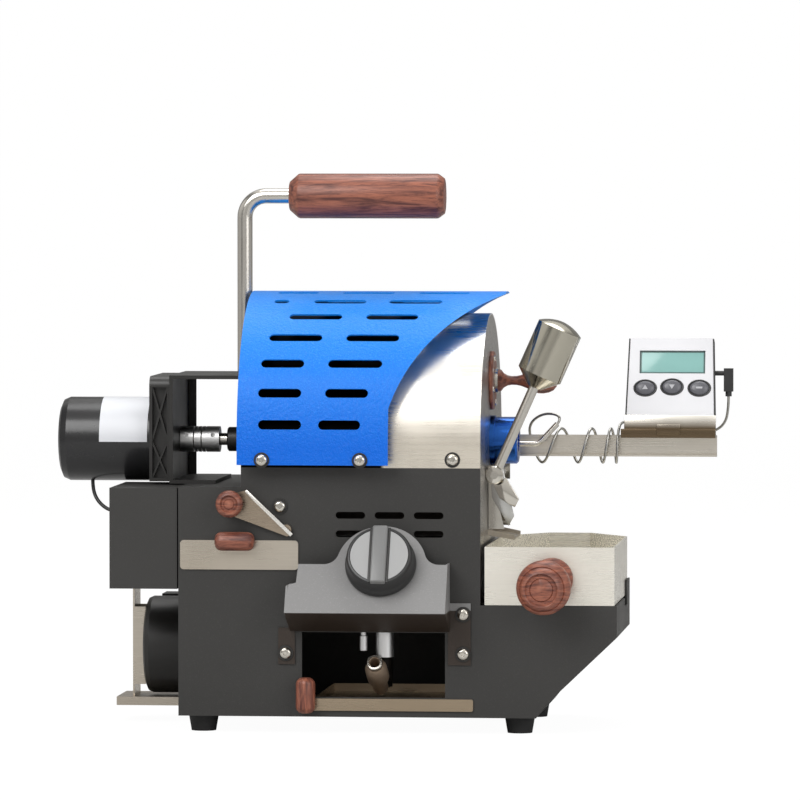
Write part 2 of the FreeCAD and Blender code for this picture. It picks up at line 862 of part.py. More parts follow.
def drive_line():
    shaft = rod("X", S.motor_shaft_radius, S.motor_left + S.motor_length + S.gear_case_length,
                S.coupling_start + 14, AXIS_Y, S.axis_height)
    keep("motor_shaft", shaft)
    start = S.coupling_start
    end = start + S.coupling_length
    body = rod("X", S.coupling_radius, start, end, AXIS_Y, S.axis_height)
    bore_left = rod("X", S.motor_shaft_radius, start - 1, start + 14, AXIS_Y, S.axis_height)
    bore_right = rod("X", S.shaft_radius, start + 14, end + 1, AXIS_Y, S.axis_height)
    slits = []
    for number in range(4):
        place = start + 10.5 + number * 3.2
        side = -1 if number % 2 == 0 else 1
        near = AXIS_Y - S.coupling_radius - 1 if side < 0 else AXIS_Y - 7
        slits.append(box(place, place + S.coupling_slit, near, near + S.coupling_radius + 8,
                         S.axis_height - S.coupling_radius - 1, S.axis_height + S.coupling_radius + 1))
    for place in (start + 5, end - 5):
        slits.append(rod("Y", 1.8, AXIS_Y - S.coupling_radius - 1, AXIS_Y - S.shaft_radius - 1.5,
                         place, S.axis_height + 3.6))
    keep("shaft_coupling", cut(body, bore_left, bore_right, *slits))
    keep("drum_shaft", rod("X", S.shaft_radius, start + 14, S.front_hub_end - 2, AXIS_Y, S.axis_height))
    hole = S.shaft_radius + S.shaft_gap
    rear = turned(
        (hole, 0), (S.rear_hub_radius - 1, 0), (S.rear_hub_radius, 1),
        (S.rear_hub_radius, S.low_width - S.rear_hub_start), (hole, S.low_width - S.rear_hub_start),
    )
    keep("rear_bearing_hub", at(rear, S.rear_hub_start, AXIS_Y, S.axis_height, TURN["X"]))
    length = S.front_hub_end - S.body_width
    flange = S.front_hub_flange_wall
    front = turned(
        (hole, -S.end_plate), (S.front_hub_radius - 6.3, -S.end_plate), (S.front_hub_radius - 6.3, 0),
        (S.front_hub_flange, 0), (S.front_hub_flange, flange), (S.front_hub_radius, flange),
        (S.front_hub_radius, length - 1.5), (S.front_hub_radius - 1.5, length), (9, length),
        (9, length - 1.2), (hole, length - 1.2),
    )
    keep("front_bearing_hub", at(front, S.body_width, AXIS_Y, S.axis_height, TURN["X"]))


def drum():
    start = LEFT_PLATE_END + S.drum_end_gap
    end = start + S.drum_length
    outer = rod("X", S.drum_radius, start, end, AXIS_Y, S.axis_height)
    inner = rod("X", S.drum_radius - S.drum_wall, start - 1, end + 1, AXIS_Y, S.axis_height)
    keep("drum_shell", cut(outer, inner))
    inside = S.drum_radius - S.drum_wall
    spiders = []
    spider_places = (start + 3, start + 96)
    for place in spider_places:
        rim = rod("X", inside, place, place + S.spider_wall, AXIS_Y, S.axis_height)
        clear = rod("X", inside - 6, place - 1, place + S.spider_wall + 1, AXIS_Y, S.axis_height)
        hub = rod("X", S.shaft_radius + 7, place, place + S.spider_wall, AXIS_Y, S.axis_height)
        spokes = []
        for number in range(3):
            spoke = DOC.addObject("Part::Box", "spoke")
            bind(spoke, Length=S.spider_wall, Width=S.spoke_width, Height=inside - 3)
            turn = Rotation(Vector(1, 0, 0), number * 120)
            corner = turn.multVec(Vector(0, -float(S.spoke_width) / 2, 0))
            at(spoke, place, AXIS_Y + corner.y, S.axis_height + corner.z, turn)
            spokes.append(spoke)
        bore = rod("X", S.shaft_radius, place - 1, place + S.spider_wall + 1, AXIS_Y, S.axis_height)
        spiders.append(cut(fuse(cut(rim, clear), hub, *spokes), bore))
    keep("drum_spiders", group(*spiders))
    vanes = []
    for number in range(3):
        vane = DOC.addObject("Part::Box", "vane")
        bind(vane, Length=S.drum_length - 12, Width=S.vane_wall, Height=S.vane_height)
        turn = Rotation(Vector(1, 0, 0), 60 + number * 120)
        foot = float(inside) - float(S.vane_height) - 0.05
        corner = turn.multVec(Vector(0, 0, foot))
        at(vane, start + 6, AXIS_Y + corner.y, S.axis_height + corner.z, turn)
        vanes.append(vane)
    gap = 0.2
    notches = [rod("X", inside + 0.5, place - gap, place + S.spider_wall + gap, AXIS_Y, S.axis_height)
               for place in spider_places]
    keep("drum_vanes", group(*[cut(vane, group(*notches)) for vane in vanes]))


# Bean port and sampler
def bean_port():
    bore = S.sampler_radius + 0.3
    wall = S.port_wall
    flange = turned(
        (bore, 0), (S.port_radius, 0), (S.port_radius, wall - 0.8), (S.port_radius - 0.8, wall), (bore, wall),
    )
    keep("port_flange", at(flange, S.body_width, AXIS_Y, S.port_z, TURN["X"]))
    start = S.body_width - S.sampler_reach
    tube_end = S.body_width + wall + 3
    tube = rod("X", S.sampler_radius, start, tube_end, AXIS_Y, S.port_z)
    hollow = rod("X", S.sampler_radius - S.sampler_wall, start + 2, tube_end - 4, AXIS_Y, S.port_z)
    mouth = box(start + 3, S.body_width - 12, AXIS_Y - 20, AXIS_Y + 20, S.port_z, S.port_z + 20)
    keep("sampler_scoop", cut(tube, hollow, mouth))
    length = S.sampler_knob_end - tube_end
    waist = S.sampler_waist
    head = S.sampler_knob_radius
    knob = turned(
        (0, 0), (9, 0), (9, 2), (waist + 2, 4.5), (waist, 9), (waist, 16), (waist + 2.5, 24),
        (head - 1, 34), (head, 40), (head - 1.5, length - 4), (head - 5, length - 0.8), (0, length),
    )
    keep("sampler_knob", at(knob, tube_end, AXIS_Y, S.port_z, TURN["X"]))


# Discharge door
def discharge_door():
    x = S.body_width + 0.5
    wall = S.door_wall
    flap = box(x, x + wall, S.door_front, S.door_back, S.door_bottom, S.hinge_z - 1)
    barrel = rod("Y", S.hinge_barrel, S.door_front, S.door_back, S.hinge_x, S.hinge_z)
    reach = box(x, S.hinge_x, S.door_front, S.door_back, S.hinge_z - 3.2, S.hinge_z)
    rim = [(x, S.door_bottom), (x + S.door_rim, S.door_bottom), (x + 3, S.hinge_z - 6), (x, S.hinge_z - 6)]
    rim_front = plate("XZ_Plane", S.door_front, S.door_front + wall, polygon(*rim))
    rim_back = plate("XZ_Plane", S.door_back - wall, S.door_back, polygon(*rim))
    bore = rod("Y", S.hinge_pin, S.door_front - 1, S.door_back + 1, S.hinge_x, S.hinge_z)
    behind = box(S.body_width - 10, x, S.door_front - 5, S.door_back + 5, S.door_bottom, S.hinge_z + 20)
    keep("discharge_door", cut(fuse(flap, barrel, reach, rim_front, rim_back), bore, behind))
    lugs = []
    pin_hole = S.hinge_pin + S.shaft_gap
    for near in (S.door_front - S.seat_gap - S.lug_wall, S.door_back + S.seat_gap):
        ear = box(S.body_width, S.hinge_x + 6, near, near + S.lug_wall, S.hinge_z - 7, S.hinge_z + 7)
        lugs.append(cut(ear, rod("Y", pin_hole, near - 1, near + S.lug_wall + 1, S.hinge_x, S.hinge_z)))
    keep("door_hinge_lugs", group(*lugs))
    lean = math.radians(float(S.lever_lean))
    pin = rod("Y", S.hinge_pin, S.lever_y - 6, S.door_back + S.lug_wall + 3, S.hinge_x, S.hinge_z)
    boss = rod("Y", 6.0, S.lever_y - 5.5, S.lever_y + 5.5, S.hinge_x, S.hinge_z)
    lever = DOC.addObject("Part::Cylinder", "lever")
    bind(lever, Radius=S.lever_radius, Height=S.weight_start + 6)
    at(lever, S.hinge_x, S.lever_y, S.hinge_z, Rotation(Vector(0, 1, 0), float(S.lever_lean)))
    keep("lever_rod", fuse(pin, boss, lever))
    cone, straight, dome = S.weight_cone, S.weight_body, S.weight_dome
    radius = S.weight_radius
    weight = turned(
        (S.lever_radius, 0), (S.lever_radius + 2, 0), (radius, cone), (radius, cone + straight),
        ("arc", (radius * 0.55, cone + straight + dome * 0.7), (2, cone + straight + dome)),
        (0, cone + straight + dome), (0, 6), (S.lever_radius, 6),
    )
    foot_x = S.hinge_x + S.weight_start * math.sin(lean)
    foot_z = S.hinge_z + S.weight_start * math.cos(lean)
    turn = Rotation(Vector(0, 1, 0), float(S.lever_lean))
    keep("counterweight", at(weight, foot_x, S.lever_y, foot_z, turn))


def discharge_chute():
    """A short sloping lip below the door, with two cheeks, that leads the beans over the tray's rim."""
    low = S.tray_top + 1.6
    reach = S.body_width + S.chute_reach
    rise = low + 3.6
    wall = 1.5
    cheek = S.chute_cheek
    solid = plate("XZ_Plane", S.door_front, S.door_back,
                  polygon((S.body_width, rise), (reach, low), (reach, low + cheek - 1),
                          (S.body_width, rise + cheek)))
    hollow = plate("XZ_Plane", S.door_front + wall, S.door_back - wall,
                   polygon((S.body_width - 5, rise + wall + 0.8), (reach + 5, low + wall - 0.8),
                           (reach + 5, rise + 20), (S.body_width - 5, rise + 20)))
    keep("discharge_chute", cut(solid, hollow))


# Cooling tray
def tray_plan(inset):
    gap = dim(inset)
    return [
        (S.tray_left + gap, gap), (S.tray_right - gap, gap), (S.tray_right - gap, S.tray_side - gap * 0.4),
        (S.tray_back_right - gap * 0.6, S.tray_back - gap), (S.tray_back_left + gap * 0.6, S.tray_back - gap),
        (S.tray_left + gap, S.tray_side - gap * 0.4),
    ]


def cooling_tray():
    bottom = S.wing_top + 0.3
    solid = plate("XY_Plane", bottom, S.tray_top, polygon(*tray_plan(0)))
    hollow = plate("XY_Plane", bottom + S.tray_wall, S.tray_top + 5, polygon(*tray_plan(S.tray_wall)))
    holes = []
    pitch = S.tray_hole_pitch
    for row in range(14):
        for column in range(10):
            x = S.tray_left + 12 + pitch * column
            y = 14 + pitch * row
            holes.append(ring(x, y, S.tray_hole))
    perforation = plate("XY_Plane", bottom - 2, bottom + S.tray_wall + 2, *holes)
    keep("cooling_tray", cut(solid, hollow, perforation))
    depth = S.tray_knob_depth
    radius = S.tray_knob_radius
    flange = radius * 0.78
    knob = turned(
        (0, 0), (flange, 0), (flange, 3), (radius * 0.52, 9), (radius * 0.5, 16), (radius * 0.8, 24),
        (radius, 30), (radius, 34), (radius * 0.7, depth - 2), (radius * 0.58, depth), (0, depth - 1.5),
    )
    keep("tray_knob", at(knob, S.tray_knob_x, 0, S.tray_knob_z, Rotation(Vector(1, 0, 0), 90)))


# Electrics
def electrics():
    box_body = box(S.box_left, S.box_right, S.sheet, S.box_depth, S.box_bottom, S.box_top)
    switch_hole = box(S.box_left - 1, S.box_left + 8.4, 42.0, 58.0, S.switch_z - 8, S.switch_z + 8)
    keep("electrics_box", cut(box_body, switch_hole))
    rocker = plate(
        "XZ_Plane", 42.4, 57.6,
        polygon((S.box_left + 0.6, S.switch_z - 7.2), (S.box_left - 2.2, S.switch_z - 6.2),
                (S.box_left - 0.2, S.switch_z), (S.box_left + 0.4, S.switch_z + 6.6),
                (S.box_left + 3.4, S.switch_z + 6.6), (S.box_left + 3.4, S.switch_z - 7.2)),
    )
    keep("rocker_switch", rocker)
    shell = rod("X", 6.0, S.box_left - 3.5, S.box_left, 50, S.inlet_z)
    hole = rod("X", 4.2, S.box_left - 4.5, S.box_left - 1.0, 50, S.inlet_z)
    keep("power_inlet", cut(shell, hole))


# Blower
def blower():
    left = S.blower_left
    wall = S.blower_wall
    radius = S.blower_radius
    length = -left
    edge = 5
    outer = turned(
        (0, 0), (radius - edge, 0), (radius - edge * 0.3, edge * 0.3), (radius, edge), (radius, length),
        (0, length),
    )
    outer = at(outer, left, S.blower_y, S.blower_z, TURN["X"])
    inner = rod("X", radius - wall, left + wall, 1, S.blower_y, S.blower_z)
    mouth = rod("X", 14, left - 1, left + wall + 1, S.blower_y, S.blower_z)
    spout = box(left + 8, -6, S.blower_y + radius - 14, S.blower_y + radius + 16,
                S.blower_z + 6, S.blower_z + radius)
    spout_hole = box(left + 8 + wall, -6 - wall, S.blower_y, S.blower_y + radius + 20,
                     S.blower_z + 6 + wall, S.blower_z + radius - wall)
    round_space = rod("X", radius - wall, left + wall, -0.01, S.blower_y, S.blower_z)
    keep("blower_housing", cut(fuse(outer, cut(spout, spout_hole)), inner, mouth, round_space))
    hub = rod("X", 10, left + 8, -6, S.blower_y, S.blower_z)
    back = rod("X", S.impeller_radius, -9, -6, S.blower_y, S.blower_z)
    blades = []
    for number in range(12):
        turn = Rotation(Vector(1, 0, 0), number * 30)
        blade = DOC.addObject("Part::Box", "blade")
        bind(blade, Length=-left - 15, Width=1.5, Height=10)
        corner = turn.multVec(Vector(0, 0, float(S.impeller_radius) - 10.5))
        at(blade, left + 8, S.blower_y + corner.y, S.blower_z + corner.z, turn)
        blades.append(blade)
    spindle = rod("X", S.spindle_radius, -6, S.sheet + 1, S.blower_y, S.blower_z)
    keep("blower_impeller", fuse(hub, back, spindle, *blades))
    x = S.blower_plate_x
    strip = box(x, x + 1.5, S.blower_y - 18, S.blower_y + 18, 20.5, S.box_bottom)
    strap = box(x, left, S.blower_y - 18, S.blower_y - 16, 30, 94)
    strap_back = box(x, left, S.blower_y + 16, S.blower_y + 18, 30, 94)
    base = box(x - 12, 0, S.blower_y - 30, S.blower_y + 30, 13.5, 20.5)
    keep("blower_bracket", fuse(strip, strap, strap_back, base))


# Drawers
def drawer(name, x0, x1, z0, z1, depth, inside_gap, plate_wall, corner):
    """An open box behind a front plate with rounded corners that overlaps its window."""
    front = plate("XZ_Plane", -plate_wall, 0, rounded(x0, x1, z0, z1, corner))
    left, right, low, high = (dim(gap) for gap in inside_gap)
    tray = box(x0 + left, x1 - right, 0, depth, z0 + low, z1 - high)
    wall = S.drawer_wall
    hollow = box(x0 + left + wall, x1 - right - wall, wall, depth - wall, z0 + low + wall, z1)
    keep(name, cut(fuse(front, tray), hollow))


def rounded(x0, x1, z0, z1, radius):
    x0, x1, z0, z1, r = (float(value) for value in (x0, x1, z0, z1, radius))
    tuck = r * (1 - math.sqrt(0.5))
    return outline(
        (x0 + r, z0), (x1 - r, z0), ("arc", (x1 - tuck, z0 + tuck), (x1, z0 + r)),
        (x1, z1 - r), ("arc", (x1 - tuck, z1 - tuck), (x1 - r, z1)),
        (x0 + r, z1), ("arc", (x0 + tuck, z1 - tuck), (x0, z1 - r)),
        (x0, z0 + r), ("arc", (x0 + tuck, z0 + tuck), (x0 + r, z0)),
    )


def pull(name, half, radius, x, y, z, upright):
    """A turned wooden pull: a fat oblong bead lying along the front plate."""
    end = half - 3.5
    bead = turned(
        (0, -half), (radius * 0.62, -half), (radius, -end), (radius, end), (radius * 0.62, half), (0, half),
    )
    turn = Rotation() if upright else TURN["X"]
    keep(name, at(bead, x, y, z, turn))


def drawers():
    drawer("chaff_drawer", S.drawer_left, S.drawer_right, S.drawer_bottom, S.drawer_top, S.drawer_depth,
           (5, 5, 4, 4), S.drawer_wall * 1.5, S.drawer_corner)
    pull("drawer_pull", S.drawer_pull_half, S.drawer_pull_radius, S.drawer_pull_x,
         -S.drawer_wall * 1.5 - S.drawer_pull_radius, S.drawer_top - 0.5, False)
    drawer("drip_tray", S.drip_left, S.drip_right, S.drip_bottom, S.drip_top, S.drip_depth,
           (4, 4, 1, 1.2), S.drawer_wall * 1.5, 1.5)
    pull("drip_tray_pull", S.drip_pull_half, S.drip_pull_radius, S.drip_pull_x + 6.5,
         -S.drawer_wall * 1.5 - S.drip_pull_radius, S.drip_top + 3.0, True)


# Damper
def damper():
    near = -S.damper_stand_off - S.damper_plate
    blade = plate(
        "XZ_Plane", near, -S.damper_stand_off,
        polygon((56.2, 196.6), (93.4, 161.2), (89.0, 159.4), (46.4, 175.1), (43.8, 193.4)),
    )
    fold_depth = 5.0
    fold = plate(
        "XZ_Plane", near - fold_depth, near + 0.5,
        polygon((56.2, 196.6), (93.4, 161.2), (92.4, 160.1), (55.2, 195.5)),
    )
    spindle = rod("Y", S.damper_spindle, near - 1.0, 30, S.damper_x, S.damper_z)
    flap = box(S.damper_x - 11, S.damper_x + 11, 12, 30, S.damper_z - 0.8, S.damper_z + 0.8)
    keep("damper_lever", fuse(blade, fold, spindle, flap))
    length = 17
    radius = S.damper_knob_radius
    knob = turned(
        (0, 0), (radius * 0.8, 0), (radius * 0.8, 2), (radius * 0.55, 5), (radius * 0.55, 7), (radius, 11),
        (radius, 14), (radius * 0.8, length), (radius * 0.55, length), (radius * 0.5, length - 1),
        (0, length - 1),
    )
    keep("damper_knob", at(knob, S.damper_knob_x + 3.0, near, S.damper_knob_z, Rotation(Vector(1, 0, 0), 90)))


# Gas control
LEAN = Rotation(Vector(1, 0, 0), -float(S.panel_lean))
LEAN_OUT = Rotation(Vector(1, 0, 0), 90 - float(S.panel_lean))


def on_panel(x, slope, out):
    """A point of the leaning panel: across, up its slope, and out of its face."""
    return Vector(0, -float(S.panel_proud), float(S.panel_bottom)) + LEAN.multVec(
        Vector(float(x), -float(out), float(slope)))


def gas_panel():
    x0, x1, top = float(S.panel_left), float(S.panel_right), float(S.panel_straight)
    cx, cs, bump, f = float(S.knob_x), float(S.knob_slope), float(S.panel_bump), float(S.panel_fillet)
    rise = top + f - cs
    spread = math.sqrt((bump + f) ** 2 - rise ** 2)
    touch_x = bump * spread / (bump + f)
    touch_s = cs + bump * rise / (bump + f)
    middle = math.atan2(-rise / 2 - f / 2, -spread / 2)
    hollow_x = f * math.cos(math.radians(-120))
    hollow_s = f * math.sin(math.radians(-120))
    face = outline(
        (x0, 0), (x1, 0), (x1, top), (cx + spread, top),
        ("arc", (cx + spread + hollow_x, top + f + hollow_s), (cx + touch_x, touch_s)),
        ("arc", (cx, cs + bump), (cx - touch_x, touch_s)),
        ("arc", (cx - spread - hollow_x, top + f + hollow_s), (cx - spread, top)),
        (x0 + 9, top), (x0 + 8, top - 17), (x0 + 2, top - 19),
    )
    sheet = float(S.sheet)
    front = DOC.addObject("PartDesign::Body", "panel_face")
    pad = front.newObject("PartDesign::Pad", "pad")
    pad.Profile = sketch_in(front, "XZ_Plane", [face, ring(cx, cs, float(S.stem_radius) + 2)])
    bind(pad, Length=S.sheet)
    pad.Reversed = True
    front.Placement = Placement(Vector(0, -float(S.panel_proud), float(S.panel_bottom)), LEAN)
    lean = math.radians(float(S.panel_lean))
    top_y = -float(S.panel_proud) + top * math.sin(lean)
    top_z = float(S.panel_bottom) + top * math.cos(lean)
    cheek = [
        (-float(S.panel_proud), float(S.panel_bottom)), (top_y, top_z), (-0.05, top_z),
        (-0.05, float(S.panel_return)),
    ]
    left_cheek = plate("YZ_Plane", x0, x0 + sheet,
                       polygon(cheek[0], (top_y - 10.6, top_z - 17), (-0.05, top_z - 17), cheek[3]))
    right_cheek = plate("YZ_Plane", x1 - sheet, x1, polygon(*cheek))
    under = plate("YZ_Plane", x0, x1, polygon(
        cheek[0], cheek[3], (-0.05, float(S.panel_return) + sheet * 1.2),
        (-float(S.panel_proud) + 1.0, float(S.panel_bottom) + sheet * 1.2)))
    ear_bottom = S.panel_screw_low - 9
    left_ear = box(x0 - 9.5, x0 + 4, -S.sheet, 0, ear_bottom, S.panel_return + 3)
    right_ear = box(x1 - 1.4, x1 + 17, -S.sheet, 0, ear_bottom, S.panel_screw_high + 9)
    keep("gas_panel", fuse(front, left_cheek, right_cheek, under, left_ear, right_ear))


def gas_valve():
    sheet = S.sheet
    body = DOC.addObject("Part::Cylinder", "valve")
    bind(body, Radius=S.valve_radius, Height=S.valve_length)
    base = on_panel(S.knob_x, S.knob_slope, -float(sheet) - float(S.valve_length))
    at(body, base.x, base.y, base.z, LEAN_OUT)
    bore = DOC.addObject("Part::Cylinder", "stem_bore")
    bind(bore, Radius=S.stem_radius + S.shaft_gap, Height=10)
    mouth = on_panel(S.knob_x, S.knob_slope, -8)
    at(bore, mouth.x, mouth.y, mouth.z, LEAN_OUT)
    riser = rod("Z", S.riser_radius, S.riser_bottom, S.riser_top, S.knob_x - 0.5, S.riser_y)
    keep("gas_valve", cut(fuse(body, riser), bore))


def gas_knob():
    tip = S.knob_depth
    face = S.knob_face_radius
    skirt = S.knob_radius
    knob = turned((0, 1.0), (skirt, 1.0), (skirt, 6), (face + 0.8, tip - 2), (face, tip - 1), (0, tip - 1))
    cutters = []
    half = S.knob_grip_width / 2
    for side in (-1, 1):
        groove = box(side * (half + 1.2) - 1.2, side * (half + 1.2) + 1.2, -40, 40, tip - 5, tip + 2)
        cutters.append(groove)
    stem_bore = rod("Z", S.stem_radius, 0, 12, 0, 0)
    grip = box(-half, half, -face + 1, face - 1, tip - 3, tip + 2.5)
    stem = rod("Z", S.stem_radius, -S.sheet - 2, 12, 0, 0)
    whole = fuse(cut(knob, *cutters, stem_bore), grip, stem)
    place = on_panel(S.knob_x, S.knob_slope, 0)
    whole.Placement = Placement(place, LEAN_OUT)
    keep("gas_knob", group(whole))


def gas_inlet():
    pipe = DOC.addObject("Part::Cylinder", "pipe")
    bind(pipe, Radius=S.inlet_radius, Height=S.inlet_length)
    bore = DOC.addObject("Part::Cylinder", "bore")
    bind(bore, Radius=S.inlet_bore, Height=S.inlet_length - 12)
    turn = Rotation(Vector(1, 0, 0), -90 - float(S.inlet_tilt))
    for piece in (pipe, bore):
        at(piece, S.inlet_x, S.inlet_mouth_y, S.inlet_mouth_z, turn)
    keep("gas_inlet", cut(pipe, bore))


def burner():
    start, end = S.bay_left + 18, RIGHT_PLATE_START
    tube = rod("X", S.burner_radius, start, end, AXIS_Y, S.burner_z)
    hollow = rod("X", S.burner_radius - 1.5, start + 1.5, end - 1.5, AXIS_Y, S.burner_z)
    ports = [box(start + 8 + number * 8, start + 11 + number * 8, AXIS_Y - 4, AXIS_Y + 4,
                 S.burner_z + 5, S.burner_z + S.burner_radius + 2) for number in range(12)]
    tilt = math.radians(float(S.inlet_tilt))
    pipe = S.burner_pipe
    tail_y = S.inlet_mouth_y + S.inlet_length * math.cos(tilt) + S.inlet_radius * math.sin(tilt)
    tail_z = S.inlet_mouth_z - S.inlet_length * math.sin(tilt)
    feed = rod("Z", pipe + 0.8, tail_z - pipe * 0.7, S.burner_z - 6, S.inlet_x, AXIS_Y)
    cross = rod("Y", pipe, tail_y, AXIS_Y, S.inlet_x, tail_z)
    keep("burner", fuse(cut(tube, hollow, *ports), feed, cross))


# Thermometer
METER_TURN = Rotation(Vector(1, 0, 0), -float(S.meter_lean))


def on_meter(x, up, out):
    """A point on the leaning thermometer: across, up its face, and out of it."""
    heel = float(S.meter_depth - S.bezel_wall) * math.sin(math.radians(float(S.meter_lean)))
    foot = Vector(float(S.meter_left), float(S.arm_y) - 14, float(S.arm_top + S.seat_gap) + heel)
    return foot + METER_TURN.multVec(Vector(float(x), -float(out), float(up)))


def thermometer_arm():
    y, wall = S.arm_y, S.arm_wall
    web = box(S.body_width, S.arm_end, y, y + wall, S.arm_bottom, S.arm_top)
    lip = box(S.body_width + 10, S.arm_end, y - S.arm_lip, y + wall, S.arm_bottom, S.arm_bottom + wall)
    shelf = box(S.shelf_start, S.arm_end, y - 20, y + wall, S.arm_top - wall, S.arm_top)
    edge = box(S.shelf_start, S.arm_end, y - 21.5, y - 20, S.arm_top - wall, S.arm_top + S.shelf_lip)
    tab = box(S.body_width, S.body_width + wall, y, y + 22, S.arm_bottom, S.arm_top)
    clip = box(S.meter_left + 27, S.meter_left + 45, y - 23.5, y - 21.4, S.arm_top + 1, S.arm_top + 9)
    keep("thermometer_arm", fuse(web, lip, shelf, edge, tab, clip))


def thermometer():
    wide, high, taper = S.meter_width, S.meter_height, float(S.meter_taper)
    w, hgt = float(wide), float(high)
    outer = [(0, 0), (w, 0), (w - taper, hgt), (taper, hgt)]

    def slab(out0, out1, corners, holes=()):
        body = DOC.addObject("PartDesign::Body", "slab")
        pad = body.newObject("PartDesign::Pad", "pad")
        pad.Profile = sketch_in(body, "XZ_Plane", [polygon(*corners), *holes], out0)
        bind(pad, Length=dim(out1) - out0)
        body.Placement = Placement(on_meter(0, 0, 0), METER_TURN)
        return body

    keep("thermometer_case", slab(-S.meter_depth + S.bezel_wall, 0, outer))
    window = polygon((11, hgt - 30), (w - 9, hgt - 30), (w - 9, hgt - 10.5), (11, hgt - 10.5))
    places = [(16.0, 35.5), (38.0, 36.5), (60.5, 35.5)]
    wells = [ellipse(x, up, 8.2, 6.2) for x, up in places]
    rim = [(0.6, 6), (w - 0.6, 6), (w - taper, hgt), (taper, hgt)]
    keep("thermometer_bezel", slab(0, S.bezel_wall - 1, rim, [window, *wells]))
    for name, (x, up) in zip(("button_left", "button_middle", "button_right"), places):
        body = DOC.addObject("PartDesign::Body", name)
        pad = body.newObject("PartDesign::Pad", "pad")
        pad.Profile = sketch_in(body, "XZ_Plane", [ellipse(x, up, 7.9, 5.9)], S.button_travel + 0.3)
        bind(pad, Length=S.bezel_wall - 1)
        body.Placement = Placement(on_meter(0, 0, 0), METER_TURN)
        keep(name, body)


def ellipse(x, y, half_wide, half_high):
    return [Part.Ellipse(Vector(x, y, 0), half_wide, half_high)]


# Leads
def arc_from(start, tangent, end):
    """The arc that leaves a point along a tangent and ends at another point."""
    chord = end - start
    along = Vector(chord).normalize()
    angle = tangent.getAngle(along)
    if angle < 1e-4:
        return Part.LineSegment(start, end)
    across = (tangent - along * tangent.dot(along)).normalize()
    rise = chord.Length / 2 * math.tan(angle / 2)
    return Part.Arc(start, (start + end) / 2 + across * rise, end)


def biarc(start, leave, end, arrive):
    """Where two tangent arcs meet between two points that each have their own direction."""
    gap = end - start
    both = leave + arrive
    spread = 2 * (1 - leave.dot(arrive))
    if spread < 1e-9:
        reach = gap.dot(gap) / (4 * gap.dot(arrive))
    else:
        reach = (-gap.dot(both) + math.sqrt(gap.dot(both) ** 2 + spread * gap.dot(gap))) / spread
    return (start + end + (leave - arrive) * reach) / 2


def smooth_lead(points, radius):
    """A round lead through points: straight for one diameter at each end, and biarcs between."""
    straight = 2 * radius
    inner = points[1:-1]
    ways = []
    for before, after in zip(points, points[2:]):
        ways.append((after - before).normalize())
    first = (points[1] - points[0]).normalize()
    last = (points[-1] - points[-2]).normalize()
    stations = [points[0] + first * straight] + inner + [points[-1] - last * straight]
    ways = [first] + ways + [last]
    edges = [Part.LineSegment(points[0], stations[0])]
    for start, leave, end, arrive in zip(stations, ways, stations[1:], ways[1:]):
        joint = biarc(start, leave, end, arrive)
        edges.append(arc_from(start, leave, joint))
        back = arc_from(end, arrive * -1, joint)
        if isinstance(back, Part.LineSegment):
            edges.append(Part.LineSegment(joint, end))
        else:
            middle = back.toShape().valueAt(
                (back.toShape().FirstParameter + back.toShape().LastParameter) / 2)
            edges.append(Part.Arc(joint, middle, end))
    edges.append(Part.LineSegment(stations[-1], points[-1]))
    path = Part.Wire([edge.toShape() for edge in edges])
    section = Part.Wire([Part.Circle(points[0], first, radius).toShape()])
    solid = path.makePipeShell([section], True, False)
    expected = math.pi * radius ** 2 * path.Length
    print(f"lead {path.Length:.0f} mm long, volume {solid.Volume / expected:.4f} of its section times length")
    return solid, path


ARM_LOOPS = 3.75
LOOP_STEPS = 12


def cable_points():
    """The probe cable: from the plug, behind the thermometer, round the arm and to the probe's bent tail."""
    plug_end = plug_places()[1]
    middle_y = float(S.arm_y) - 2.2
    middle_z = (float(S.arm_top) + float(S.arm_bottom)) / 2
    wide, high = 8.2, 14.4
    behind = float(S.arm_y) + 32
    right = float(S.arm_end) + 9
    start = [
        plug_end,
        plug_end + Vector(0, 0, -9),
        Vector(right - 3, behind - 14, float(S.arm_top) + 9),
        Vector(right - 14, behind - 3, float(S.arm_top) + 1),
        Vector(right - 38, behind, float(S.arm_top) - 3),
        Vector(right - 63, behind - 4, float(S.arm_top) + 2),
        Vector(float(S.shelf_start) + 4, behind - 16, float(S.arm_top) + 10),
        Vector(float(S.shelf_start) - 1.5, middle_y + 2, middle_z + high + 4.5),
    ]
    loops = []
    for step in range(1, int(ARM_LOOPS * LOOP_STEPS) + 1):
        turn = step / LOOP_STEPS
        angle = 2 * math.pi * turn
        x = float(S.shelf_start) - 2.6 - 2.0 * turn - 4.6 * turn ** 2
        loops.append(Vector(x, middle_y - wide * math.sin(angle), middle_z + high * math.cos(angle)))
    tail = probe_tail()
    direction = (tail[1] - tail[0]).normalize()
    finish = [
        Vector(272, middle_y + 3, middle_z + high + 3),
        Vector(286, middle_y - 5, middle_z + high + 13),
        tail[1] + direction * 8,
        tail[1],
    ]
    return start + loops + finish


def probe_tail():
    """Both ends of the bent tail of the probe."""
    low = Vector(288.0, float(S.probe_y), float(S.probe_z) + 3.5)
    return low, low + Vector(9.5, 1.0, 13.0)


def plug_places():
    """Where the plug's pin meets the thermometer, and where the cable leaves the plug."""
    up = 51.0
    edge = float(S.meter_width) - float(S.meter_taper) * up / float(S.meter_height)
    pin = on_meter(edge, up, -7)
    return pin, pin + Vector(11.4, 0, -19)


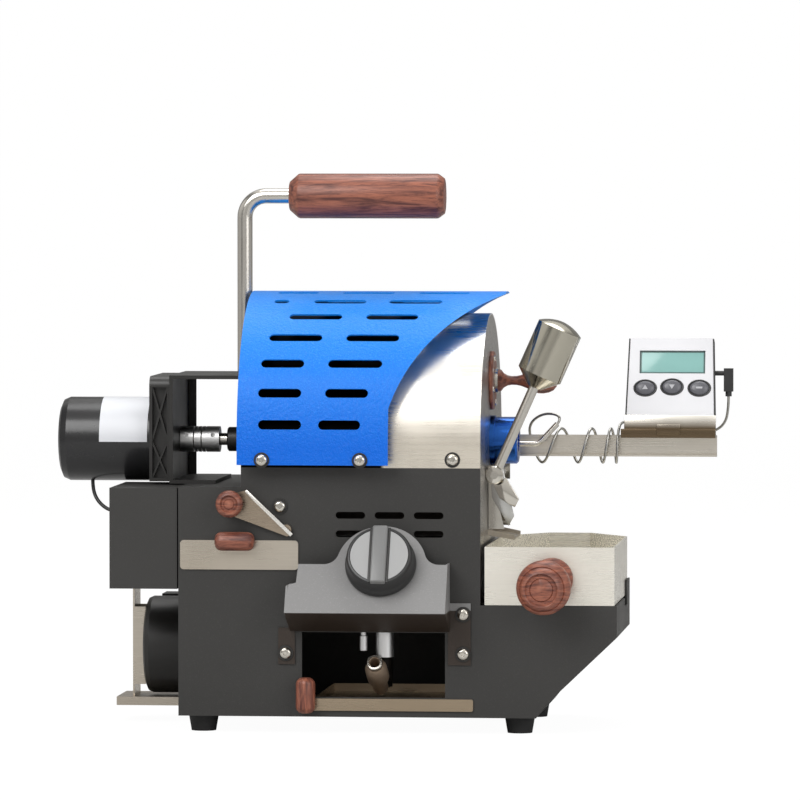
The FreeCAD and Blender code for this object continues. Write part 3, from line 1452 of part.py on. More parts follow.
def probe_and_cable():
    low, high = probe_tail()
    radius = float(S.probe_radius)
    bend = Vector(low.x - 6, low.y, float(S.probe_z))
    start = Vector(float(S.body_width) - 30, low.y, float(S.probe_z))
    edges = [Part.LineSegment(start, bend - Vector(4, 0, 0))]
    onward = (high - bend).normalize()
    entry, leave = bend - Vector(4, 0, 0), bend + onward * 4
    arc = arc_from(entry, Vector(1, 0, 0), leave)
    edges.append(arc)
    edges.append(Part.LineSegment(leave, high))
    path = Part.Wire([edge.toShape() for edge in edges])
    section = Part.Wire([Part.Circle(start, Vector(1, 0, 0), radius).toShape()])
    piece = DOC.addObject("Part::Feature", "probe")
    piece.Shape = path.makePipeShell([section], True, False)
    keep("probe", piece)
    pin, exit_point = plug_places()
    plug_pin = rod("X", 2.0, pin.x + 0.2, pin.x + 9, pin.y, pin.z)
    elbow = box(pin.x + 7.6, pin.x + 15.2, pin.y - 3.8, pin.y + 3.8, exit_point.z + 4, pin.z + 4)
    sleeve = rod("Z", 2.6, exit_point.z, exit_point.z + 5, exit_point.x, exit_point.y)
    keep("probe_plug", fuse(plug_pin, elbow, sleeve))
    cable = DOC.addObject("Part::Feature", "probe_cable")
    cable.Shape, path = smooth_lead(cable_points(), float(S.cable_radius))
    keep("probe_cable", cable)
    report_least_gap(path, float(S.cable_radius))
    lead = DOC.addObject("Part::Feature", "motor_lead")
    lead.Shape, path = smooth_lead(lead_points(), 1.5)
    keep("motor_lead", lead)


def lead_points():
    """The motor's short lead, from under its can into the side of the electrics box."""
    top = float(S.axis_height - S.motor_radius)
    side = float(S.box_left)
    return [
        Vector(side - 28, float(AXIS_Y), top + 0.02),
        Vector(side - 28, float(AXIS_Y), top - 9),
        Vector(side - 22, 100, top - 19),
        Vector(side - 11, 94.5, top - 25.5),
        Vector(side, 94.5, top - 25.5),
    ]


def report_least_gap(path, radius):
    """Print the least gap between stretches of a lead that aren't neighbours along it."""
    step = 1.5
    points = path.discretize(Distance=step)
    apart = int(6 * radius / step) + 4
    least = min((a - b).Length for i, a in enumerate(points) for b in points[i + apart:])
    print(f"least gap of the lead to itself {least - 2 * radius:.2f} mm")


def build():
    base_casing()
    rear_cover()
    end_plates()
    housing_shell()
    housing_rails()
    rubber_feet()
    heat_shield()
    shield_spacers()
    casing_screws()
    carry_handle()
    motor()
    motor_bracket()
    drive_line()
    drum()
    bean_port()
    discharge_door()
    discharge_chute()
    cooling_tray()
    electrics()
    blower()
    drawers()
    damper()
    gas_panel()
    gas_valve()
    gas_knob()
    gas_inlet()
    burner()
    thermometer_arm()
    thermometer()
    probe_and_cable()
    DOC.recompute()


def check():
    """Stop if any feature failed or any sub-part isn't whole."""
    faults = []
    for item in DOC.Objects:
        if any(state in ("Invalid", "Error") for state in item.State):
            faults.append(f"{item.Name} {item.TypeId} {item.State}")
    for name, piece in PIECES.items():
        if piece.Shape.isNull() or not piece.Shape.isValid() or not piece.Shape.Solids:
            faults.append(f"{name} has no valid solid")
    if faults:
        raise RuntimeError("; ".join(faults))


def write_steps():
    os.makedirs("parts", exist_ok=True)
    whole = FreeCAD.BoundBox()
    for name, piece in PIECES.items():
        piece.Shape.exportStep(f"parts/{name}.step")
        whole.add(piece.Shape.BoundBox)
    print(f"{len(PIECES)} nodes, X {whole.XMin:.1f} to {whole.XMax:.1f}, "
          f"Y {whole.YMin:.1f} to {whole.YMax:.1f}, Z {whole.ZMin:.1f} to {whole.ZMax:.1f}")


build()
check()
write_steps()
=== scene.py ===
"""Looks of a home coffee bean roaster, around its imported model. Z up, the front towards -Y.

Blender works in metres. Places and profiles are written in millimetres, as in the model's source,
and turned into metres by spot() and spun().
"""

import math

import bmesh
import bpy
from bpy.props import FloatProperty, FloatVectorProperty, PointerProperty
from mathutils import Matrix, Vector


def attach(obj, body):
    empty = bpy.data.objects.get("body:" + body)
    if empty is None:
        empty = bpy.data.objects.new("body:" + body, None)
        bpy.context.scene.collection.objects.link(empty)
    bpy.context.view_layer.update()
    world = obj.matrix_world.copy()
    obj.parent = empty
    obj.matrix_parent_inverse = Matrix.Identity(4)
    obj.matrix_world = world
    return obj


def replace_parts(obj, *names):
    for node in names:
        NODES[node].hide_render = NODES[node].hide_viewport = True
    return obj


bl_info = {
    "name": "Coffee Roaster Looks",
    "version": (1, 0, 0),
    "blender": (4, 5, 0),
    "location": "View3D > Sidebar > Roaster",
    "description": "Finishes and details of a home coffee bean roaster",
    "category": "Object",
}

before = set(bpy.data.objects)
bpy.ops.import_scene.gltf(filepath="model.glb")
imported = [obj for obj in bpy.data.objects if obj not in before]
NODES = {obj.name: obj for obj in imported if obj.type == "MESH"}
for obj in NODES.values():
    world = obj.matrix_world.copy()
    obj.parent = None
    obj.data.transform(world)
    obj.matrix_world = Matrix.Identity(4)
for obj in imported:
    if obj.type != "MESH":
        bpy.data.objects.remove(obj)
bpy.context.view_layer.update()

# The CAD is laid out from the body's front left corner, and its origin is this far from there
CORNER = Vector((-0.15945, -0.0883, 0.0))
# In millimetres from that corner: the plane through the drum, the motor and the port, and the
# port's height
AXIS_Y = 104
PORT_Z = 282

FORWARDS, BACKWARDS, RIGHT, UP = (0, -1, 0), (0, 1, 0), (1, 0, 0), (0, 0, 1)


def spot(x, y, z):
    """A place given in millimetres from the body's front left corner, on the table."""
    return CORNER + Vector((x, y, z)) / 1000


# Settings
def colour(name, description, default):
    return FloatVectorProperty(name=name, description=description, default=default,
                               subtype="COLOR", size=3, min=0, max=1)


def length(name, description, default):
    return FloatProperty(name=name, description=description, default=default,
                         subtype="DISTANCE", unit="LENGTH")


def rotation(name, description, default):
    return FloatProperty(name=name, description=description, default=default,
                         subtype="ANGLE", unit="ROTATION")


class RoasterFinishes(bpy.types.PropertyGroup):
    """Colours of the roaster's finishes."""

    casing: colour("Casing", "Powder coat of the body and the boxes", (0.026, 0.025, 0.0235))
    panel: colour("Gas panel", "Powder coat of the leaning panel", (0.205, 0.202, 0.200))
    shield: colour("Heat shield", "Hammered paint of the heat shield", (0.0, 0.122, 0.64))
    # Shield light: the colour of the painted highlights and painted sky reflection on the heat
    # shield
    shield_light: colour("Shield light", "Paler flecks of the heat shield's paint",
                         (0.05, 0.36, 0.95))
    steel: colour("Steel", "Brushed stainless sheet", (0.56, 0.51, 0.44))
    steel_tarnish: colour("Steel tarnish", "Warmer patches of the stainless sheet",
                          (0.42, 0.35, 0.26))
    polished: colour("Polished steel", "Turned and polished steel", (0.64, 0.61, 0.55))
    wood: colour("Wood", "Rosewood of the knobs and the grip", (0.34, 0.115, 0.068))
    wood_dark: colour("Wood grain", "Dark grain of the rosewood", (0.085, 0.024, 0.018))
    enamel: colour("Enamel", "Black enamel of the motor", (0.012, 0.012, 0.013))
    rubber: colour("Rubber", "Black rubber of the feet", (0.016, 0.016, 0.016))
    anodised: colour("Blue aluminium", "Anodised front bearing", (0.03, 0.13, 0.50))
    brass: colour("Brass", "Gas inlet", (0.50, 0.38, 0.28))
    knob_grey: colour("Knob grey", "Face of the gas knob", (0.32, 0.32, 0.318))
    screen: colour("Screen", "Liquid crystal display", (0.24, 0.46, 0.43))


class RoasterSizes(bpy.types.PropertyGroup):
    """Sizes of the details that are added to the model, and where the camera stands."""

    label_wall: length("Label", "Thickness of the motor's blank label", 0.00012)
    cable_thickness: length("Probe cable", "Thickness of the probe's cable", 0.0022)
    lead_thickness: length("Motor lead", "Thickness of the motor's lead", 0.003)
    lens: FloatProperty(name="Lens", description="Focal length of the camera, in millimetres",
                        default=315.0)
    distance: length("Camera distance", "From the camera to the middle of the view", 5.74)
    turn: rotation("Camera turn", "How far the camera stands to the right", 0.0975)
    rise: rotation("Camera rise", "How far the camera looks down", 0.039)


def finishes():
    return bpy.context.scene.roaster_finishes


def sizes():
    return bpy.context.scene.roaster_sizes


# Shader building
# Sockets of a Mix node for colours, whose names are shared by its sockets for other kinds
MIX_FACTOR, MIX_FIRST, MIX_SECOND, MIX_RESULT = 0, 6, 7, 2


class Shader:
    """A short hand for adding and joining nodes of one tree."""

    def __init__(self, tree):
        self.tree = tree

    def add(self, kind, **settings):
        node = self.tree.nodes.new(kind)
        inputs = settings.pop("inputs", {})
        for name, value in settings.items():
            setattr(node, name, value)
        for name, value in inputs.items():
            self.put(value, node.inputs[name])
        return node

    def put(self, value, socket):
        if isinstance(value, bpy.types.NodeSocket):
            self.tree.links.new(value, socket)
        elif isinstance(value, (tuple, list)) and len(value) == 3 and socket.type == "RGBA":
            socket.default_value = (*value, 1)
        else:
            socket.default_value = value

    def place(self, scale=(1, 1, 1), turn=(0, 0, 0)):
        coords = self.add("ShaderNodeTexCoord")
        return self.add("ShaderNodeMapping", inputs={
            "Vector": coords.outputs["Object"], "Scale": scale, "Rotation": turn}).outputs["Vector"]

    def ways(self, place="Object"):
        """X, Y and Z of the point, each of its own."""
        coords = self.add("ShaderNodeTexCoord")
        return self.add("ShaderNodeSeparateXYZ", inputs={"Vector": coords.outputs[place]}).outputs

    def noise(self, vector, scale, detail=3.0, roughness=0.5, distortion=0.0):
        return self.add("ShaderNodeTexNoise", inputs={
            "Vector": vector, "Scale": scale, "Detail": detail, "Roughness": roughness,
            "Distortion": distortion}).outputs["Fac"]

    def span(self, value, low, high, start=0.0, end=1.0):
        return self.add("ShaderNodeMapRange", inputs={
            "Value": value, "From Min": low, "From Max": high,
            "To Min": start, "To Max": end}).outputs["Result"]

    def blend(self, mask, first, second):
        mix = self.add("ShaderNodeMix", data_type="RGBA", blend_type="MIX")
        self.put(mask, mix.inputs[MIX_FACTOR])
        self.put(first, mix.inputs[MIX_FIRST])
        self.put(second, mix.inputs[MIX_SECOND])
        return mix.outputs[MIX_RESULT]

    def sum(self, first, second, operation="ADD"):
        node = self.add("ShaderNodeMath", operation=operation)
        self.put(first, node.inputs[0])
        self.put(second, node.inputs[1])
        return node.outputs[0]

    def bump(self, height, strength, distance):
        return self.add("ShaderNodeBump", inputs={
            "Height": height, "Strength": strength, "Distance": distance}).outputs["Normal"]


def group_of(name, inputs, outputs, fill):
    """A node group that several materials share."""
    tree = bpy.data.node_groups.new(name, "ShaderNodeTree")
    for label, kind, default in inputs:
        socket = tree.interface.new_socket(name=label, in_out="INPUT", socket_type=kind)
        if default is not None:
            socket.default_value = (*default, 1) if isinstance(default, tuple) else default
    for label, kind in outputs:
        tree.interface.new_socket(name=label, in_out="OUTPUT", socket_type=kind)
    shader = Shader(tree)
    entry = tree.nodes.new("NodeGroupInput")
    leave = tree.nodes.new("NodeGroupOutput")
    for label, value in fill(shader, entry.outputs).items():
        shader.put(value, leave.inputs[label])
    return tree


def fill_coating(shader, given):
    """Fine, even texture of powder coat, with faint dust."""
    fine = shader.noise(shader.place(), 900.0, 2.0)
    coarse = shader.noise(shader.place(), 240.0, 2.0)
    height = shader.sum(fine, shader.sum(coarse, 0.6, "MULTIPLY"))
    cloud = shader.noise(shader.place(), 9.0, 4.0)
    speck = shader.span(fine, 0.58, 0.74, 0.0, 0.45)
    base = shader.blend(shader.span(cloud, 0.3, 0.7, 0.0, 0.22), given["Color"], given["Dust"])
    return {"Color": shader.blend(speck, base, given["Dust"]), "Height": height,
            "Roughness": shader.span(cloud, 0.3, 0.7, 0.44, 0.56)}


def fill_brushed(shader, given):
    """Long fine scratches along X, with warm patches."""
    along = shader.place(scale=(6, 900, 900))
    scratch = shader.noise(along, 1.0, 3.0, 0.6)
    cloud = shader.noise(shader.place(scale=(1.0, 1.0, 1.6)), 6.0, 1.5)
    smear = shader.noise(shader.place(), 24.0, 2.0)
    patches = shader.span(cloud, 0.30, 0.75, 0.0, 0.45)
    base = shader.blend(patches, given["Color"], given["Tarnish"])
    shade = shader.blend(shader.span(scratch, 0.35, 0.65, 0.0, 0.08), base, (0.20, 0.18, 0.15))
    return {"Color": shade, "Height": scratch,
            "Roughness": shader.sum(shader.span(scratch, 0.3, 0.7, 0.20, 0.34),
                                    shader.span(smear, 0.4, 0.7, 0.0, 0.10))}


def fill_grain(shader, given):
    """Long streaks and pores of oiled rosewood, along the given direction of the wood."""
    rings = shader.noise(given["Vector"], 1.0, 5.0, 0.62, 0.8)
    pores = shader.noise(given["Vector"], 5.5, 3.0, 0.7)
    streak = shader.span(rings, 0.36, 0.62)
    fleck = shader.span(pores, 0.55, 0.68, 0.0, 0.75)
    base = shader.blend(streak, given["Dark"], given["Color"])
    return {"Color": shader.blend(fleck, base, given["Dark"]), "Height": pores,
            "Roughness": shader.span(streak, 0.0, 1.0, 0.50, 0.36)}


def fill_hammered(shader, given):
    """Orange peel of hammered paint, with painted highlights on its crests."""
    cells = shader.add("ShaderNodeTexVoronoi", feature="SMOOTH_F1", inputs={
        "Vector": shader.place(), "Scale": 430.0, "Smoothness": 0.7,
        "Randomness": 1.0}).outputs["Distance"]
    peel = shader.noise(shader.place(), 1100.0, 1.0, 0.5, 0.3)
    # Painted highlights: the paler colour goes on the crests of the peel
    fleck = shader.sum(shader.span(peel, 0.50, 0.72), given["Flecks"], "MULTIPLY")
    return {"Color": shader.blend(fleck, given["Color"], given["Light"]),
            "Height": shader.sum(cells, peel)}


def fill_wear(shader, given):
    """A mask that follows sharp edges and is broken up by noise. It needs a joined mesh."""
    edge = shader.add("ShaderNodeNewGeometry").outputs["Pointiness"]
    broken = shader.noise(shader.place(), 130.0, 3.0)
    raw = shader.span(edge, 0.53, 0.62)
    return {"Mask": shader.sum(raw, shader.span(broken, 0.42, 0.62), "MULTIPLY")}


def make_groups():
    tint = ("Color", "NodeSocketColor", (0.5, 0.5, 0.5))
    shade, height = ("Color", "NodeSocketColor"), ("Height", "NodeSocketFloat")
    full = [shade, height, ("Roughness", "NodeSocketFloat")]
    rows = {
        "coating": ("Powder coat", [tint, ("Dust", "NodeSocketColor", (0.2, 0.2, 0.2))],
                    full, fill_coating),
        "brushed": ("Brushed steel", [tint, ("Tarnish", "NodeSocketColor", (0.4, 0.3, 0.2))],
                    full, fill_brushed),
        "grain": ("Wood grain", [tint, ("Dark", "NodeSocketColor", (0.1, 0.03, 0.02)),
                                 ("Vector", "NodeSocketVector", None)], full, fill_grain),
        "hammered": ("Hammered paint", [tint, ("Light", "NodeSocketColor", (0.2, 0.5, 1.0)),
                                        ("Flecks", "NodeSocketFloat", 0.5)],
                     [shade, height], fill_hammered),
        "wear": ("Edge wear", [], [("Mask", "NodeSocketFloat")], fill_wear),
    }
    return {key: group_of(*row) for key, row in rows.items()}


# Finishes
GROUPS = {}
FINISHES = {}

# Heights and places in metres: where the leaning panel turns under into its painted shade, and the
# heat shield's front edge, left of which the steel has painted shadow; the edge is straight up to a
# height and sweeps back with the square of the rise above it
PANEL_EDGE_Z = 0.1004
PANEL_EDGE_BLUR = 0.0006
SWEEP_FROM_Z = 0.263
SWEEP_GROWTH = 11.5
SWEEP_FROM_X = 0.0065
SWEEP_BLUR = 0.0015
# Painted shadow on the steel in the gap behind the heat shield
SHIELD_SHADOW = (0.003, 0.003, 0.003)


def use(shader, group, **inputs):
    """Place a shared group in a material, with this material's own values."""
    node = shader.tree.nodes.new("ShaderNodeGroup")
    node.node_tree = GROUPS[group]
    for name, value in inputs.items():
        shader.put(value, node.inputs[name])
    return node.outputs


def new_finish(name, **constants):
    """An empty material with the plain numbers of its surface set on the shader's own sockets."""
    material = bpy.data.materials.new(name)
    material.use_nodes = True
    surface = material.node_tree.nodes["Principled BSDF"]
    for label, value in constants.items():
        surface.inputs[label.replace("_", " ")].default_value = value
    FINISHES[name] = material
    return Shader(material.node_tree), surface.inputs


def toned(shade, share):
    """A darker or lighter tone of a colour."""
    return tuple(min(1.0, channel * share) for channel in shade)


def coated(name, paint, dust, strength=0.22, under=None):
    """Powder coat; where under is given, the panel's turned under edge gets that colour as painted
    shade.
    """
    shader, sockets = new_finish(name, Specular_IOR_Level=0.45)
    out = use(shader, "coating", Color=paint, Dust=toned(paint, dust))
    shade = out["Color"]
    if under is not None:
        # Painted shade: below the panel's edge the coat turns to the dark under colour
        above = shader.span(shader.ways()["Z"], PANEL_EDGE_Z - PANEL_EDGE_BLUR, PANEL_EDGE_Z)
        shade = shader.blend(above, under, shade)
    shader.put(shade, sockets["Base Color"])
    shader.put(out["Roughness"], sockets["Roughness"])
    shader.put(shader.bump(out["Height"], strength, 0.0002), sockets["Normal"])


def hammered(name, low, high, flecks):
    """Hammered paint; painted reflection makes it paler and more flecked up the heat shield."""
    shader, sockets = new_finish(name, Roughness=0.32, Specular_IOR_Level=0.22, Coat_Weight=0.06,
                                 Coat_Roughness=0.15)
    height = shader.ways()["Z"]
    # Painted reflection: from low to high up the shield the blue grows paler and the painted
    # highlights grow
    base = shader.blend(shader.span(height, 0.232, 0.345), low, high)
    out = use(shader, "hammered", Color=base, Light=flecks,
              Flecks=shader.span(height, 0.23, 0.34, 0.14, 0.50))
    shader.put(out["Color"], sockets["Base Color"])
    shader.put(shader.bump(out["Height"], 0.55, 0.0008), sockets["Normal"])


def under_shield(shader):
    """A mask of the housing's part that the heat shield covers, left of its sweeping edge, for
    painted shadow.
    """
    ways = shader.ways()
    above = shader.sum(shader.sum(ways["Z"], SWEEP_FROM_Z, "SUBTRACT"), 0.0, "MAXIMUM")
    sweep = shader.sum(shader.sum(above, above, "MULTIPLY"), SWEEP_GROWTH, "MULTIPLY")
    inset = shader.sum(shader.sum(ways["X"], sweep, "SUBTRACT"), SWEEP_FROM_X, "SUBTRACT")
    return shader.span(inset, -SWEEP_BLUR, SWEEP_BLUR, 1.0, 0.0)


def brushed(name, light, tarnish, rise=None, metal=1.0, shield_shadowed=False):
    """Brushed sheet. Rise paints light by height: a colour and the two heights between which the
    sheet turns to it.
    """
    shader, sockets = new_finish(name, Metallic=metal)
    if rise is not None:
        top, low_z, high_z = rise
        share = shader.span(shader.ways()["Z"], low_z, high_z)
        light = shader.blend(share, light, top)
        tarnish = shader.blend(share, tarnish, top)
    out = use(shader, "brushed", Color=light, Tarnish=tarnish)
    shade = out["Color"]
    # Painted shadow: the steel behind the heat shield turns near black
    if shield_shadowed:
        shade = shader.blend(under_shield(shader), shade, SHIELD_SHADOW)
    shader.put(shade, sockets["Base Color"])
    shader.put(out["Roughness"], sockets["Roughness"])
    shader.put(shader.bump(out["Height"], 0.05, 0.0001), sockets["Normal"])


def polished(name, light, rough_low, rough_high):
    """Turned and polished metal with fine rings and finger marks."""
    shader, sockets = new_finish(name, Metallic=1.0)
    smear = shader.noise(shader.place(), 26.0, 2.0)
    fine = shader.noise(shader.place(scale=(60, 60, 900)), 1.0, 2.0)
    shade = shader.blend(shader.span(smear, 0.35, 0.75, 0.0, 0.5), light, toned(light, 0.80))
    shader.put(shade, sockets["Base Color"])
    shader.put(shader.span(smear, 0.35, 0.75, rough_low, rough_high), sockets["Roughness"])
    shader.put(shader.bump(fine, 0.03, 0.0001), sockets["Normal"])


def wooden(name, shade, grain, scale, turn):
    """Oiled rosewood; the small number of the scale is along the grain."""
    shader, sockets = new_finish(name, Specular_IOR_Level=0.4, Coat_Weight=0.12,
                                 Coat_Roughness=0.25)
    out = use(shader, "grain", Color=shade, Dark=grain,
              Vector=shader.place(scale=scale, turn=turn))
    wear = shader.sum(use(shader, "wear")["Mask"], 0.5, "MULTIPLY")
    shader.put(shader.blend(wear, out["Color"], (0.52, 0.26, 0.17)), sockets["Base Color"])
    shader.put(out["Roughness"], sockets["Roughness"])
    shader.put(shader.bump(out["Height"], 0.18, 0.0002), sockets["Normal"])


def moulded(name, shade, roughness, grain, strength, lighter, metallic):
    """Plastic, rubber or enamel with a fine grain, dust and finger marks."""
    shader, sockets = new_finish(name, Metallic=metallic, Specular_IOR_Level=0.5)
    fine = shader.noise(shader.place(), grain, 2.0)
    cloud = shader.noise(shader.place(), 18.0, 2.0)
    pale = toned(shade, lighter)
    speck = shader.span(fine, 0.62, 0.78, 0.0, 0.3)
    base = shader.blend(shader.span(cloud, 0.35, 0.7, 0.0, 0.4), shade, pale)
    shader.put(shader.blend(speck, base, pale), sockets["Base Color"])
    rough = shader.span(cloud, 0.3, 0.7, roughness * 0.85, roughness * 1.15)
    shader.put(rough, sockets["Roughness"])
    shader.put(shader.bump(fine, strength, 0.0001), sockets["Normal"])


# In these tables a word in a colour's place is a colour of the settings.
# Brushed sheets: name, colour, tarnish, and what else brushed() is given
BRUSHED = [
    # Shell: painted reflection makes it near white towards its top, and painted shadow darkens its
    # part behind the heat shield
    ("shell_steel", (0.84, 0.78, 0.68), (0.80, 0.73, 0.62),
     {"rise": ((0.94, 0.93, 0.90), 0.235, 0.31), "shield_shadowed": True}),
    ("sheet_steel", "steel", "steel_tarnish", {}),
    ("tray_steel", (0.86, 0.83, 0.75), (0.80, 0.77, 0.68), {"metal": 0.62}),
    ("arm_steel", (0.70, 0.66, 0.59), (0.56, 0.50, 0.42), {}),
    ("warm_steel", (0.42, 0.34, 0.25), (0.34, 0.26, 0.17), {}),
    # A pale sheet for the painted highlight on the damper's fold
    ("fold_highlight_sheet", (0.90, 0.88, 0.84), (0.80, 0.77, 0.70), {}),
    # Lips: painted shade and reflection, dark brown low down and pale cream at the top
    ("lip_steel", (0.16, 0.115, 0.07), (0.10, 0.07, 0.04),
     {"rise": ((0.88, 0.85, 0.78), 0.2425, 0.2520)}),
    ("damper_steel", (0.40, 0.33, 0.26), (0.34, 0.27, 0.19), {}),
    # End plate: painted light, lighter towards its top
    ("end_steel", (0.36, 0.345, 0.33), (0.24, 0.22, 0.20),
     {"rise": ((0.52, 0.50, 0.48), 0.24, 0.33)}),
]

# Polished metals: name, colour, and the roughness of clean and of smeared places
POLISHED = [
    ("bright_steel", "polished", 0.06, 0.20),
    ("rod_steel", (0.60, 0.575, 0.53), 0.16, 0.30),
    ("coupling_alloy", (0.72, 0.72, 0.72), 0.34, 0.46),
    ("alloy", (0.62, 0.62, 0.60), 0.20, 0.36),
    ("blue_alloy", "anodised", 0.16, 0.30),
    ("weight_steel", (0.50, 0.475, 0.40), 0.06, 0.20),
    ("braid_steel", (0.46, 0.45, 0.42), 0.25, 0.42),
]

# Woods: name, and the scale and the turn of the grain
WOODEN = [
    ("wood_across", (22, 260, 260), (0, 0, 0)),
    ("wood_upright", (260, 260, 22), (0, 0, 0)),
    ("wood_endways", (46, 46, 300), (0.15, 0.35, 0.1)),
]

# Moulded and painted parts: name, colour, roughness, grain, bump, tone of the dust, metallic
MOULDED = [
    ("bezel_silver", (0.66, 0.66, 0.68), 0.34, 900.0, 0.04, 1.05, 0.3),
    ("inlet_brass", "brass", 0.36, 500.0, 0.05, 1.3, 0.55),
    ("motor_enamel", "enamel", 0.22, 260.0, 0.05, 1.5, 0.0),
    ("black_satin", (0.014, 0.013, 0.012), 0.42, 500.0, 0.12, 1.5, 0.0),
    ("burner_iron", (0.030, 0.025, 0.021), 0.62, 380.0, 0.3, 1.5, 0.0),
    ("foot_rubber", "rubber", 0.72, 600.0, 0.25, 1.5, 0.0),
    ("black_moulding", (0.018, 0.018, 0.018), 0.40, 800.0, 0.12, 1.5, 0.0),
    ("meter_side", (0.060, 0.060, 0.064), 0.42, 800.0, 0.12, 1.5, 0.0),
    ("button_plastic", (0.105, 0.105, 0.118), 0.26, 900.0, 0.05, 1.2, 0.0),
    ("knob_face", "knob_grey", 0.34, 900.0, 0.08, 1.12, 0.0),
    ("knob_grip", (0.165, 0.165, 0.163), 0.34, 900.0, 0.08, 1.15, 0.0),
    ("label_film", (0.66, 0.67, 0.70), 0.38, 300.0, 0.04, 1.05, 0.0),
    ("icon_print", (0.42, 0.42, 0.44), 0.38, 300.0, 0.04, 1.05, 0.0),
    ("screen_film", "screen", 0.12, 300.0, 0.02, 1.04, 0.0),
    ("screen_edge", (0.10, 0.16, 0.15), 0.3, 300.0, 0.02, 1.5, 0.0),
]


def make_finishes():
    def tone(value):
        return tuple(getattr(finishes(), value)) if isinstance(value, str) else value

    coated("casing_coat", tone("casing"), 1.7)
    # The panel's dark brown under colour is painted shade on its turned under edge
    coated("panel_coat", tone("panel"), 1.6, 0.30, (0.028, 0.018, 0.012))
    # The shield's blues from low to high, and its pale flecks, are painted reflection and painted
    # highlights
    hammered("shield_paint", tone("shield"), (0.004, 0.225, 0.80), tone("shield_light"))
    for name, light, tarnish, more in BRUSHED:
        brushed(name, tone(light), tone(tarnish), **more)
    for name, shade, *numbers in POLISHED:
        polished(name, tone(shade), *numbers)
    for name, scale, turn in WOODEN:
        wooden(name, tone("wood"), tone("wood_dark"), scale, turn)
    for name, shade, *numbers in MOULDED:
        moulded(name, tone(shade), *numbers)


NODE_FINISH = {
    "casing_coat": ["base_casing", "rear_cover", "electrics_box", "housing_rails"],
    "panel_coat": ["gas_panel"],
    "shield_paint": ["heat_shield"],
    "shell_steel": ["housing_shell"],
    "end_steel": ["right_end_plate"],
    "sheet_steel": ["chaff_drawer", "discharge_chute", "drum_spiders", "blower_bracket"],
    "tray_steel": ["cooling_tray"],
    "warm_steel": ["drip_tray"],
    "damper_steel": ["damper_lever"],
    "arm_steel": ["thermometer_arm"],
    "coupling_alloy": ["shaft_coupling", "gas_valve"],
    "bright_steel": ["button_screws", "discharge_door", "door_hinge_lugs"],
    "weight_steel": ["counterweight"],
    "rod_steel": ["handle_rod", "lever_rod", "drum_shaft", "motor_shaft", "probe",
                  "sampler_scoop"],
    "alloy": ["shield_spacers", "power_inlet"],
    "blue_alloy": ["front_bearing_hub"],
    "bezel_silver": ["thermometer_bezel"],
    "inlet_brass": ["gas_inlet"],
    "wood_across": ["handle_grip", "sampler_knob", "drawer_pull"],
    "wood_upright": ["port_flange", "drip_tray_pull"],
    "wood_endways": ["tray_knob", "damper_knob"],
    "motor_enamel": ["motor_can"],
    "black_satin": ["gear_case", "motor_bracket", "left_end_plate", "rear_bearing_hub",
                    "blower_housing"],
    "burner_iron": ["burner", "drum_shell", "drum_vanes"],
    "foot_rubber": ["rubber_feet"],
    "black_moulding": ["rocker_switch", "blower_impeller", "probe_plug"],
    "meter_side": ["thermometer_case"],
    "button_plastic": ["button_left", "button_middle", "button_right"],
    "knob_face": ["gas_knob"],
}


def dress(piece, finish):
    """Give a piece one finish over all of it."""
    material = FINISHES[finish]
    if not piece.material_slots:
        piece.data.materials.append(material)
    for slot in piece.material_slots:
        slot.material = material
    return piece


# Modelling
def mesh_piece(name, body, finish, work, smooth_angle=35):
    """A new piece: work fills a bmesh in metres, in the roaster's own frame."""
    mesh = bpy.data.meshes.new(name)
    shape = bmesh.new()
    work(shape)
    bmesh.ops.remove_doubles(shape, verts=shape.verts, dist=1e-6)
    bmesh.ops.recalc_face_normals(shape, faces=shape.faces)
    for face in shape.faces:
        face.smooth = True
    for edge in shape.edges:
        if len(edge.link_faces) == 2 and edge.calc_face_angle(0) > math.radians(smooth_angle):
            edge.smooth = False
    shape.to_mesh(mesh)
    shape.free()
    piece = bpy.data.objects.new(name, mesh)
    bpy.context.scene.collection.objects.link(piece)
    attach(piece, body)
    return dress(piece, finish)


def axis_turn(direction):
    """The turn that takes Z to a direction."""
    return Vector(UP).rotation_difference(Vector(direction)).to_matrix().to_4x4()


def leaning_face(foot, degrees):
    """The frame of a face that leans back, with Y up its slope and Z out of it, and that Z."""
    lean = math.radians(degrees)
    out = Vector((0, -math.cos(lean), math.sin(lean)))
    across = Vector(RIGHT)
    turn = Matrix((across, out.cross(across), out)).transposed().to_4x4()
    return Matrix.Translation(foot) @ turn, out


def fresh(made, kind=bmesh.types.BMVert):
    """The new items of one kind that an operator of bmesh made."""
    return [item for item in made["geom"] if isinstance(item, kind)]


def spun(shape, profile, place, direction=UP, steps=64):
    """Spin a profile of (radius, height) pairs, in millimetres, round an axis through a place."""
    verts = [shape.verts.new((radius / 1000, 0, height / 1000)) for radius, height in profile]
    edges = [shape.edges.new(pair) for pair in zip(verts, verts[1:])]
    bmesh.ops.spin(shape, geom=verts + edges, cent=(0, 0, 0), axis=UP, angle=math.tau,
                   steps=steps, use_merge=True)
    # What an earlier call has put in its place is tagged
    loose = [vert for vert in shape.verts if not vert.tag]
    turn = Matrix.Translation(place) @ axis_turn(direction)
    bmesh.ops.transform(shape, matrix=turn, verts=loose)
    for vert in loose:
        vert.tag = True


def block(shape, low, high, round_off, segments=3):
    """A block with rounded edges between two corners in metres, the first thing in its shape."""
    low, high = Vector(low), Vector(high)
    verts = bmesh.ops.create_cube(shape, size=1)["verts"]
    bmesh.ops.scale(shape, vec=high - low, verts=verts)
    bmesh.ops.translate(shape, vec=(high + low) / 2, verts=verts)
    bmesh.ops.bevel(shape, geom=shape.edges[:], offset=round_off / 1000, affect="EDGES",
                    segments=segments, profile=0.5, material=-1)


